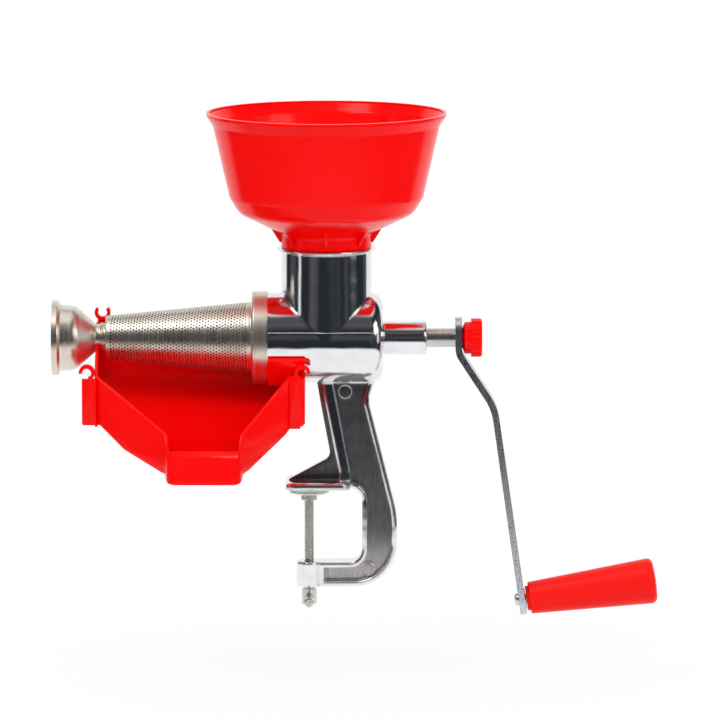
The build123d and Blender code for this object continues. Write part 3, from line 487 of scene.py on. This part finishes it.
def deselect_all():
    """Leave nothing selected and nothing in edit mode."""
    if bpy.context.object and bpy.context.object.mode != "OBJECT":
        bpy.ops.object.mode_set(mode="OBJECT")
    bpy.ops.object.select_all(action="DESELECT")


def move_to_origin(piece):
    """Put the piece's place into its mesh, as a CAD node's is."""
    deselect_all()
    piece.select_set(True)
    bpy.context.view_layer.objects.active = piece
    bpy.ops.object.transform_apply(location=True, rotation=True, scale=True)


def select_where(piece, kind, test):
    """In edit mode, select the vertices, edges or faces for which a test holds."""
    bpy.ops.mesh.select_mode(type=kind)
    bpy.ops.mesh.select_all(action="DESELECT")
    mesh = bmesh.from_edit_mesh(piece.data)
    for part in {"VERT": mesh.verts, "EDGE": mesh.edges, "FACE": mesh.faces}[kind]:
        part.select = test(part)
    mesh.select_flush_mode()
    bmesh.update_edit_mesh(piece.data)


def merge_and_face_out(distance):
    """In edit mode, merge doubled points of the whole mesh and turn its faces one way, outwards."""
    bpy.ops.mesh.select_all(action="SELECT")
    bpy.ops.mesh.remove_doubles(threshold=distance)
    bpy.ops.mesh.normals_make_consistent(inside=False)


def apply_modifier(piece, kind, **settings):
    """Add a modifier with its settings and apply it at once."""
    modifier = piece.modifiers.new(kind.title(), kind)
    for name, value in settings.items():
        setattr(modifier, name, value)
    bpy.context.view_layer.objects.active = piece
    bpy.ops.object.modifier_apply(modifier=modifier.name)


# The cone's flat development is a sector of a ring, round the cone's apex
half_angle = math.atan(slope)
apex_x = cone_low.x - SMALL_R / slope
slant_low = (cone_low.x + MARGIN - apex_x) / math.cos(half_angle)
slant_high = (cone_high.x - MARGIN - apex_x) / math.cos(half_angle)
half_sector = math.pi * math.sin(half_angle)

deselect_all()
columns = 2 * math.ceil(slant_high * math.sin(half_sector) / PITCH) + 2
first_row = slant_low * math.cos(half_sector) - ROW
rows = 2 * math.ceil((slant_high - first_row) / ROW / 2) + 2
bpy.ops.mesh.primitive_circle_add(vertices=8, radius=HOLE_R, fill_type="NOTHING",
                                  location=(-columns / 2 * PITCH, first_row, 0))
sheet = bpy.context.object
sheet.name = "perforated_cone"
bpy.ops.object.mode_set(mode="EDIT")
bpy.ops.mesh.select_all(action="SELECT")
bpy.ops.mesh.extrude_edges_move(MESH_OT_extrude_edges_indiv={"mirror": False})
bpy.ops.transform.resize(value=(PITCH / 2 / HOLE_R, ROW / 2 / HOLE_R, 1))
select_where(sheet, "VERT", lambda v: abs(v.co.x) > 0.3 * PITCH and abs(v.co.y) > 0.3 * ROW)
bpy.ops.transform.resize(value=(math.sqrt(2), math.sqrt(2), 1))
bpy.ops.object.mode_set(mode="OBJECT")
print("one cell:", len(sheet.data.polygons), "faces")

# %% Rows of holes
apply_modifier(sheet, "ARRAY", count=columns, use_relative_offset=False, use_constant_offset=True,
               constant_offset_displace=(PITCH, 0, 0), use_merge_vertices=True,
               merge_threshold=MERGE)
apply_modifier(sheet, "ARRAY", count=2, use_relative_offset=False, use_constant_offset=True,
               constant_offset_displace=(PITCH / 2, ROW, 0), use_merge_vertices=True,
               merge_threshold=MERGE)
apply_modifier(sheet, "ARRAY", count=rows // 2, use_relative_offset=False,
               use_constant_offset=True, constant_offset_displace=(0, 2 * ROW, 0),
               use_merge_vertices=True, merge_threshold=MERGE)
move_to_origin(sheet)
print("flat sheet:", len(sheet.data.polygons), "faces,", columns, "by", rows, "holes")

# %% Trim, roll and thicken
bpy.ops.object.mode_set(mode="EDIT")
for side in (-1, 1):
    bpy.ops.mesh.select_all(action="SELECT")
    bpy.ops.mesh.bisect(plane_co=(0, 0, 0), clear_outer=True,
                        plane_no=(side * math.cos(half_sector), -math.sin(half_sector), 0))
bpy.ops.object.mode_set(mode="OBJECT")
for vertex in sheet.data.vertices:
    slant = math.hypot(vertex.co.x, vertex.co.y)
    turn = math.atan2(vertex.co.x, vertex.co.y) / math.sin(half_angle)
    radius = slant * math.sin(half_angle)
    vertex.co = (apex_x + slant * math.cos(half_angle), -radius * math.cos(turn),
                 AXIS_Z + radius * math.sin(turn))
bpy.ops.object.mode_set(mode="EDIT")
for end, way in ((cone_low.x + MARGIN, -1), (cone_high.x - MARGIN, 1)):
    bpy.ops.mesh.select_all(action="SELECT")
    bpy.ops.mesh.bisect(plane_co=(end, 0, 0), plane_no=(way, 0, 0), clear_outer=True)
merge_and_face_out(MERGE)
bpy.ops.object.mode_set(mode="OBJECT")
outward = sum(face.normal.dot(face.center - Vector((face.center.x, 0, AXIS_Z)))
              for face in sheet.data.polygons)
if outward < 0:
    bpy.ops.object.mode_set(mode="EDIT")
    bpy.ops.mesh.select_all(action="SELECT")
    bpy.ops.mesh.flip_normals()
    bpy.ops.object.mode_set(mode="OBJECT")
apply_modifier(sheet, "SOLIDIFY", thickness=SHEET, offset=-1.0)
print("rolled sheet:", len(sheet.data.polygons), "faces")

# %% [markdown]
# The sheet keeps a plain rim at both ends, where it is pressed on the band and on the outlet.
# Each rim is a short cone, drawn out from a circle. The butt seam is covered by a narrow strip on
# the side away from the user, as the weld bead is on the real strainer.

# %% Plain rims and seam
SEAM_WIDTH, SEAM_THICK, SEAM_ROUND = 0.0032, 0.0006, 0.00025
SEAM_SHORT = 0.0004                           # the strip is shorter than the cone by this


def cone_radius(x):
    """Outside radius of the cone at a place along its axis."""
    return SMALL_R + slope * (x - cone_low.x)


def conical_rim(name, start, end):
    """A closed ring of the sheet's thickness between two places along the cone."""
    deselect_all()
    bpy.ops.mesh.primitive_circle_add(vertices=96, radius=cone_radius(start), fill_type="NOTHING",
                                      location=(start, 0, AXIS_Z),
                                      rotation=(0, math.pi / 2, 0))
    ring = bpy.context.object
    ring.name = name
    grow = cone_radius(end) / cone_radius(start)
    bpy.ops.object.mode_set(mode="EDIT")
    bpy.ops.mesh.select_all(action="SELECT")
    bpy.ops.mesh.extrude_edges_move(TRANSFORM_OT_translate={"value": (end - start, 0, 0)})
    bpy.ops.transform.resize(value=(1, grow, grow))
    bpy.ops.mesh.select_all(action="SELECT")
    bpy.ops.mesh.normals_make_consistent(inside=False)
    bpy.ops.object.mode_set(mode="OBJECT")
    move_to_origin(ring)
    face = ring.data.polygons[0]
    if face.normal.dot(face.center - Vector((face.center.x, 0, AXIS_Z))) < 0:
        ring.data.flip_normals()
    apply_modifier(ring, "SOLIDIFY", thickness=SHEET, offset=-1.0)
    return ring


small_rim = conical_rim("small_rim", cone_low.x, cone_low.x + MARGIN)
large_rim = conical_rim("large_rim", cone_high.x - MARGIN, cone_high.x)

deselect_all()
middle_x = (cone_low.x + cone_high.x) / 2
bpy.ops.mesh.primitive_cube_add(size=1, location=(middle_x, cone_radius(middle_x), AXIS_Z),
                                scale=(cone_high.x - cone_low.x - SEAM_SHORT, SEAM_THICK,
                                       SEAM_WIDTH))
seam = bpy.context.object
seam.name = "cone_seam"
move_to_origin(seam)
bpy.ops.object.mode_set(mode="EDIT")
for end in (cone_low.x, cone_high.x):
    select_where(seam, "VERT", lambda v: abs(v.co.x - end) < 0.001)
    lift = cone_radius(end) - cone_radius(middle_x) - SEAM_THICK / 2
    bpy.ops.transform.translate(value=(0, lift, 0))
select_where(seam, "EDGE", lambda e: abs(e.verts[0].co.x - e.verts[1].co.x) > 0.01
             and min(v.co.y - cone_radius(v.co.x) for v in e.verts) > -0.0002)
bpy.ops.mesh.bevel(offset=SEAM_ROUND, segments=2, affect="EDGES")
bpy.ops.object.mode_set(mode="OBJECT")

deselect_all()
for part in (small_rim, large_rim, seam, sheet):
    part.select_set(True)
bpy.context.view_layer.objects.active = sheet
bpy.ops.object.join()
bpy.ops.object.shade_smooth_by_angle(angle=math.radians(35))
sheet.data.materials.clear()
sheet.data.materials.append(finishes["strainer_steel"])
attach(sheet, "frame")
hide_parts("strainer_cone")
triangles = sum(len(face.vertices) - 2 for face in sheet.data.polygons)
print("perforated cone:", triangles, "triangles")

# %% [markdown]
# ## Clamp screw
# The clamp screw is 8 mm thick. Its thread is one V groove that climbs by a pitch each turn, so
# a line with one tooth, wound by a Screw modifier, gives the whole thread. The ends are cut
# flat, and the plain tip and the head come from one outline that is spun round the axis.

# %% Thread
THREAD_R, ROOT_R, THREAD_PITCH = 0.0040, 0.0033, 0.0015
TOOTH = ((ROOT_R, 0.0), (ROOT_R, 0.15), (THREAD_R, 0.45), (THREAD_R, 0.62))   # (radius, pitches)
HEAD_LENGTH, HEAD_R, HEAD_SLOPE = 0.013, 0.006, 0.001
TIP_LENGTH, TIP_R, TIP_SLOPE = 0.00625, 0.003, 0.0006
screw_low, screw_high = (Vector(corner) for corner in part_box("clamp_screw"))
head_top = screw_low.z + HEAD_LENGTH
shoulder = screw_high.z - TIP_LENGTH
turns = math.ceil((shoulder - head_top) / THREAD_PITCH) + 2

deselect_all()
bpy.ops.mesh.primitive_circle_add(vertices=4, radius=0.1, fill_type="NOTHING")
screw = bpy.context.object
screw.name = "threaded_screw"
bpy.ops.object.mode_set(mode="EDIT")
mesh = bmesh.from_edit_mesh(screw.data)
mesh.verts.ensure_lookup_table()
bottom = head_top - THREAD_PITCH
for vertex, (radius, share) in zip(list(mesh.verts), TOOTH):
    vertex.co = (radius, 0, bottom + share * THREAD_PITCH)
# The longest edge closes the circle, and without it the outline is an open line
mesh.edges.remove(max(mesh.edges, key=lambda e: e.calc_length()))
last = mesh.verts.new((ROOT_R, 0, bottom + THREAD_PITCH))
mesh.verts.ensure_lookup_table()
mesh.edges.new((mesh.verts[3], last))
bmesh.update_edit_mesh(screw.data)
bpy.ops.object.mode_set(mode="OBJECT")
apply_modifier(screw, "SCREW", axis="Z", angle=2 * math.pi, screw_offset=THREAD_PITCH,
               iterations=turns, steps=32, render_steps=32, use_merge_vertices=True,
               merge_threshold=MERGE)
bpy.ops.object.mode_set(mode="EDIT")
for level, way in ((head_top, -1), (shoulder, 1)):
    bpy.ops.mesh.select_all(action="SELECT")
    bpy.ops.mesh.bisect(plane_co=(0, 0, level), plane_no=(0, 0, way), clear_outer=True,
                        use_fill=True)
merge_and_face_out(FINE_MERGE)
bpy.ops.object.mode_set(mode="OBJECT")
print("thread:", turns - 2, "turns,", len(screw.data.polygons), "faces")

# %% Tip and head of the screw
CORE_R = ROOT_R - 0.0001                      # the core lies just inside the thread's root
CORE_OVERLAP = 0.001                          # the tip and the head run this far into the thread
BAR_HOLE_R, DRILL_LENGTH = 0.00305, 0.02


def turned_piece(name, outline, steps=48):
    """Spin an outline of (radius, height) points round the screw's axis into a closed piece."""
    deselect_all()
    bpy.ops.mesh.primitive_circle_add(vertices=len(outline), radius=0.01, fill_type="NOTHING")
    piece = bpy.context.object
    piece.name = name
    mesh = bmesh.new()
    mesh.from_mesh(piece.data)
    mesh.verts.ensure_lookup_table()
    for vertex, (radius, height) in zip(list(mesh.verts), outline):
        vertex.co = (radius, 0, height)
    first, last = mesh.verts[0], mesh.verts[len(outline) - 1]
    closing = mesh.edges.get((first, last))
    if closing:
        mesh.edges.remove(closing)
    mesh.to_mesh(piece.data)
    mesh.free()
    bpy.ops.object.mode_set(mode="EDIT")
    bpy.ops.mesh.select_all(action="SELECT")
    bpy.ops.mesh.spin(steps=steps, angle=2 * math.pi, center=(0, 0, 0), axis=(0, 0, 1))
    merge_and_face_out(FINE_MERGE)
    bpy.ops.object.mode_set(mode="OBJECT")
    return piece


core = turned_piece("screw_core", (
    (0, screw_high.z), (TIP_R - TIP_SLOPE, screw_high.z), (TIP_R, screw_high.z - TIP_SLOPE),
    (TIP_R, shoulder - CORE_OVERLAP), (CORE_R, shoulder - CORE_OVERLAP),
    (CORE_R, head_top + CORE_OVERLAP), (THREAD_R, head_top + CORE_OVERLAP), (THREAD_R, head_top),
    (HEAD_R - HEAD_SLOPE, head_top), (HEAD_R, head_top - HEAD_SLOPE),
    (HEAD_R, screw_low.z + HEAD_SLOPE), (HEAD_R - HEAD_SLOPE, screw_low.z), (0, screw_low.z)))
bar_low, bar_high = (Vector(corner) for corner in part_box("clamp_bar"))
deselect_all()
bpy.ops.mesh.primitive_cylinder_add(vertices=32, radius=BAR_HOLE_R, depth=DRILL_LENGTH,
                                    location=(0, 0, (bar_low.z + bar_high.z) / 2),
                                    rotation=(math.pi / 2, 0, 0))
drill = bpy.context.object
apply_modifier(core, "BOOLEAN", operation="DIFFERENCE", object=drill, solver="EXACT")
bpy.data.objects.remove(drill)
deselect_all()
core.select_set(True)
screw.select_set(True)
bpy.context.view_layer.objects.active = screw
bpy.ops.object.join()
bpy.ops.object.shade_smooth_by_angle(angle=math.radians(25))
screw.data.materials.clear()
screw.data.materials.append(finishes["plated_hardware"])
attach(screw, "clamp_screw")
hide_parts("clamp_screw")
print("clamp screw:", len(screw.data.polygons), "faces")

# %% [markdown]
# ## Juice tray
# The tray is one thin moulding. The solid already has its walls, clip and hooks, so the visible
# tray starts as a copy of it, with its loose triangles merged. Blocks then trim the copy as a
# toolmaker would: the skirt under the side walls follows the chute, the lower corners of the lip
# and of the corner posts are rounded, and the clip is opened at the front, where the outlet is
# pushed in.

# %% Copy of the tray
tray = frame["nodes"]["juice_tray"].copy()
tray.data = tray.data.copy()
tray.name = "moulded_tray"
bpy.context.scene.collection.objects.link(tray)
deselect_all()
tray.select_set(True)
bpy.context.view_layer.objects.active = tray
bpy.ops.object.mode_set(mode="EDIT")
bpy.ops.mesh.select_all(action="SELECT")
bpy.ops.mesh.remove_doubles(threshold=0.000002)
bpy.ops.object.mode_set(mode="OBJECT")
print("tray copy:", len(tray.data.polygons), "faces")

# %% Cutting blocks
CUT_PAST = 0.003                              # a block reaches this far past a corner


def trim(piece, outline, front, back):
    """Cut a block from a piece: an outline of (x, z) points between two places along Y."""
    deselect_all()
    bpy.ops.mesh.primitive_circle_add(vertices=len(outline), radius=0.01, fill_type="NGON",
                                      location=(0, 0, 0))
    block = bpy.context.object
    for vertex, (x, z) in zip(block.data.vertices, outline):
        vertex.co = (x, front, z)
    bpy.ops.object.mode_set(mode="EDIT")
    bpy.ops.mesh.select_all(action="SELECT")
    bpy.ops.mesh.extrude_region_move(TRANSFORM_OT_translate={"value": (0, back - front, 0)})
    bpy.ops.mesh.select_all(action="SELECT")
    bpy.ops.mesh.normals_make_consistent(inside=False)
    bpy.ops.object.mode_set(mode="OBJECT")
    apply_modifier(piece, "BOOLEAN", operation="DIFFERENCE", object=block, solver="EXACT")
    bpy.data.objects.remove(block)


def round_corner(piece, x, z, inward, radius, front, back):
    """Round a lower corner at (x, z); inward is 1 if the piece lies on its right, else -1."""
    centre = (x + inward * radius, z + radius)
    arc = [(centre[0] - inward * radius * math.cos(a), centre[1] - radius * math.sin(a))
           for a in (math.pi / 16 * step for step in range(9))]
    outer_x, low = x - inward * CUT_PAST, z - CUT_PAST
    trim(piece, arc + [(centre[0], low), (outer_x, low), (outer_x, centre[1])], front, back)


# %% Trim the skirt, the lip and the clip
# Outlines are (x, z) points, and each front and back is a place along Y
LEFT_SKIRT = ((-0.1657, 0.0551), (-0.1459, 0.0385), (-0.1150, 0.0245))
RIGHT_SKIRT = ((-0.0158, 0.0499), (-0.0318, 0.0377), (-0.0490, 0.0245))
LEFT_END, RIGHT_END = -0.1900, 0.0100         # the skirt's blocks end past the tray's sides
SKIRT_FRONT, SKIRT_BACK = -0.1050, -0.0340
LIP_LEFT, LIP_RIGHT, LIP_ROUND = -0.1130, -0.0510, 0.0080
LIP_FRONT, LIP_BACK = -0.1000, -0.0800
POST_LEFT, POST_RIGHT, POST_FOOT, POST_ROUND = -0.1803, -0.0030, 0.0540, 0.0036
POST_FRONT, POST_BACK = -0.0400, -0.0300
CLIP_LEFT, CLIP_RIGHT, CLIP_FOOT, CLIP_TOP = -0.1780, -0.1620, 0.1150, 0.1420
CLIP_FRONT, CLIP_BACK = -0.0400, -0.0030
EDGE_WIDTH = 0.0006                           # the moulding's edges are broken by this much

tray_low = Vector(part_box("juice_tray")[0])
below = tray_low.z - 0.010
for edge, outer_x in ((LEFT_SKIRT, LEFT_END), (RIGHT_SKIRT, RIGHT_END)):
    corners = ((edge[-1][0], below), (outer_x, below), (outer_x, edge[0][1]))
    trim(tray, edge + corners, SKIRT_FRONT, SKIRT_BACK)
for corner_x, inward in ((LIP_LEFT, 1), (LIP_RIGHT, -1)):
    round_corner(tray, corner_x, tray_low.z, inward, LIP_ROUND, LIP_FRONT, LIP_BACK)
for corner_x, inward in ((POST_LEFT, 1), (POST_RIGHT, -1)):
    round_corner(tray, corner_x, POST_FOOT, inward, POST_ROUND, POST_FRONT, POST_BACK)
trim(tray, ((CLIP_LEFT, CLIP_FOOT), (CLIP_RIGHT, CLIP_FOOT), (CLIP_RIGHT, CLIP_TOP),
            (CLIP_LEFT, CLIP_TOP)), CLIP_FRONT, CLIP_BACK)
bpy.context.view_layer.objects.active = tray
tray.select_set(True)
apply_modifier(tray, "BEVEL", width=EDGE_WIDTH, segments=2, limit_method="ANGLE",
               angle_limit=math.radians(50))
bpy.ops.object.shade_smooth_by_angle(angle=math.radians(35))
tray.data.materials.clear()
tray.data.materials.append(finishes["red_plastic"])
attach(tray, "frame")
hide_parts("juice_tray")
print("moulded tray:", len(tray.data.polygons), "faces")

# %% [markdown]
# ## Ejector marks
# Round pins push the casting out of its die. Each leaves a disc on the web with a bright raised
# rim. The discs are in the solids, and the rims are thin rings that lie on them.

# %% Ejector marks
MARKS = ((0.0290, 0.0770), (0.0470, -0.0668))  # (x, z) of each mark on the leg's web
MARK_R, MARK_FACE = 0.0056, 0.0048            # its radius, and its face's distance from the middle
RIM_WIDTH, RIM_HEIGHT, RIM_ROUND = 0.0008, 0.0005, 0.00015


def mark_rim(name, x, z, side):
    """A thin raised ring on an ejector mark of the leg, on the given side of its web."""
    deselect_all()
    bpy.ops.mesh.primitive_circle_add(vertices=40, radius=MARK_R, fill_type="NOTHING",
                                      location=(x, side * MARK_FACE, z),
                                      rotation=(math.pi / 2, 0, 0))
    rim = bpy.context.object
    rim.name = name
    inner = (MARK_R - RIM_WIDTH) / MARK_R
    bpy.ops.object.mode_set(mode="EDIT")
    bpy.ops.mesh.select_all(action="SELECT")
    bpy.ops.mesh.extrude_edges_move(MESH_OT_extrude_edges_indiv={"mirror": False})
    bpy.ops.transform.resize(value=(inner, 1, inner))
    bpy.ops.mesh.select_all(action="SELECT")
    bpy.ops.mesh.extrude_region_move(TRANSFORM_OT_translate={"value": (0, side * RIM_HEIGHT, 0)})
    merge_and_face_out(FINE_MERGE)
    bpy.ops.object.mode_set(mode="OBJECT")
    move_to_origin(rim)
    apply_modifier(rim, "BEVEL", width=RIM_ROUND, segments=2, limit_method="ANGLE")
    bpy.ops.object.shade_smooth_by_angle(angle=math.radians(35))
    rim.data.materials.append(finishes["cast_aluminium"])
    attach(rim, "frame")


for number, (x, z) in enumerate(MARKS):
    for side in (-1, 1):
        mark_rim(f"mark_rim_{number}_{'front' if side < 0 else 'back'}", x, z, side)
print("ejector marks rimmed on both sides of the web")

# %% [markdown]
# ## Floor, light and background
# The object stands in front of plain white. A pale floor catches a soft shadow, and it fades into
# the white background so that no edge shows. Polished metal needs something dark to mirror as
# well, or it looks like white plastic. So reflected rays that go towards the camera or to the
# sides see a dark, mottled room, as in the real studio, and those that go down, up or back see
# white. Two lit places in that room, a narrow strip on the left and a softbox on the right, draw
# the bright streaks on barrel and neck.

# %% Floor
CLAMP_TRAVEL = 0.048                          # the screw comes down this far when it is opened
FLOOR_R, FLOOR_GAP = 0.77, 0.006
FADE = (0.0, 0.5, 0.86, 1.0)                  # white share: 0.86 in the middle, 1.0 from 0.5 m out
deselect_all()
bpy.ops.mesh.primitive_circle_add(vertices=96, radius=FLOOR_R, fill_type="NGON",
                                  location=(0.03, 0.0, cad_low.z - CLAMP_TRAVEL - FLOOR_GAP))
floor = bpy.context.object
floor.name = "studio_floor"
material = bpy.data.materials.new("pale_floor")
material.use_nodes = True
tree = material.node_tree
tree.nodes.clear()
where = add_node(tree, "ShaderNodeTexCoord")
flat = add_node(tree, "ShaderNodeVectorMath", {0: where.outputs["Object"]}, operation="LENGTH")
light_path = add_node(tree, "ShaderNodeLightPath")
seen = math_node(tree, "MAXIMUM", light_path.outputs["Is Camera Ray"], math_node(
    tree, "MAXIMUM", light_path.outputs["Is Glossy Ray"], light_path.outputs["Is Transmission Ray"]))
fade = product(tree, seen, map_range(tree, flat.outputs["Value"], *FADE))
paper = add_node(tree, "ShaderNodeBsdfDiffuse", {"Color": (0.93, 0.93, 0.93, 1)})
white = add_node(tree, "ShaderNodeEmission", {"Color": (1, 1, 1, 1), "Strength": 1.0})
blend = add_node(tree, "ShaderNodeMixShader", {0: fade, 1: paper.outputs[0], 2: white.outputs[0]})
add_node(tree, "ShaderNodeOutputMaterial", {"Surface": blend.outputs[0]})
floor.data.materials.append(material)
floor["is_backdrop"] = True
print("floor at z =", round(floor.location.z, 4))

# %% World
# Each pair is where a soft edge begins and ends, in the direction's own X, Y or Z
TABLE_EDGE, CEILING_EDGE, BACK_EDGE = (-0.60, -0.45), (0.95, 0.85), (0.62, 0.50)
STRIP_X, STRIP_EDGE, STRIP_BACK = 0.935, (0.022, 0.012), (0.0, -0.1)
BOX_LEFT, BOX_BACK, BOX_FOOT, BOX_TOP = (0.88, 0.92), (-0.10, -0.15), (-0.12, -0.08), (0.34, 0.30)

world = bpy.data.worlds.new("white_studio")
bpy.context.scene.world = world
world.use_nodes = True
tree = world.node_tree
tree.nodes.clear()
where = add_node(tree, "ShaderNodeTexCoord")
toward = add_node(tree, "ShaderNodeSeparateXYZ", {0: where.outputs["Generated"]})
dark_room = product(tree, map_range(tree, toward.outputs["Z"], *TABLE_EDGE),
                    map_range(tree, toward.outputs["Z"], *CEILING_EDGE),
                    map_range(tree, toward.outputs["Y"], *BACK_EDGE))
from_strip = math_node(tree, "ABSOLUTE", math_node(tree, "ADD", toward.outputs["X"], STRIP_X))
left_strip = product(tree, map_range(tree, from_strip, *STRIP_EDGE),
                     map_range(tree, toward.outputs["Y"], *STRIP_BACK))
right_box = product(tree, map_range(tree, toward.outputs["X"], *BOX_LEFT),
                    map_range(tree, toward.outputs["Y"], *BOX_BACK),
                    map_range(tree, toward.outputs["Z"], *BOX_FOOT),
                    map_range(tree, toward.outputs["Z"], *BOX_TOP))
softboxes = math_node(tree, "MAXIMUM", left_strip, right_box)
dark_room = product(tree, dark_room, math_node(tree, "SUBTRACT", 1.0, softboxes))
glow = add_node(tree, "ShaderNodeTexNoise", {
    "Vector": where.outputs["Generated"], "Scale": 2.2, "Detail": 1.0})
room = mix_colour(tree, map_range(tree, glow.outputs["Fac"], 0.40, 0.70),
                  (0.018, 0.022, 0.028, 1), (0.10, 0.10, 0.105, 1))
mirrored = mix_colour(tree, dark_room, (0.95, 0.95, 0.95, 1), room)
light_path = add_node(tree, "ShaderNodeLightPath")
lit = mix_colour(tree, light_path.outputs["Is Glossy Ray"], (0.80, 0.80, 0.80, 1), mirrored)
colour = mix_colour(tree, light_path.outputs["Is Camera Ray"], lit, (1, 1, 1, 1))
sky = add_node(tree, "ShaderNodeBackground", {"Color": colour, "Strength": 1.0})
add_node(tree, "ShaderNodeOutputWorld", {"Surface": sky.outputs[0]})
bpy.context.scene.view_settings.view_transform = "Standard"

# %% Lamps
def soft_lamp(name, place, target, size, power):
    """A square area lamp at a place, aimed at a target."""
    data = bpy.data.lights.new(name, "AREA")
    data.size, data.energy = size, power
    lamp = bpy.data.objects.new(name, data)
    bpy.context.scene.collection.objects.link(lamp)
    lamp.location = place
    lamp.rotation_euler = (Vector(target) - Vector(place)).to_track_quat("-Z", "Y").to_euler()


LAMP_TARGET = (0.0, 0.0, 0.1)
soft_lamp("key_lamp", (-0.9, -1.0, 2.0), LAMP_TARGET, size=0.9, power=14.0)
soft_lamp("fill_lamp", (1.3, -1.0, 0.9), LAMP_TARGET, size=0.8, power=6.0)
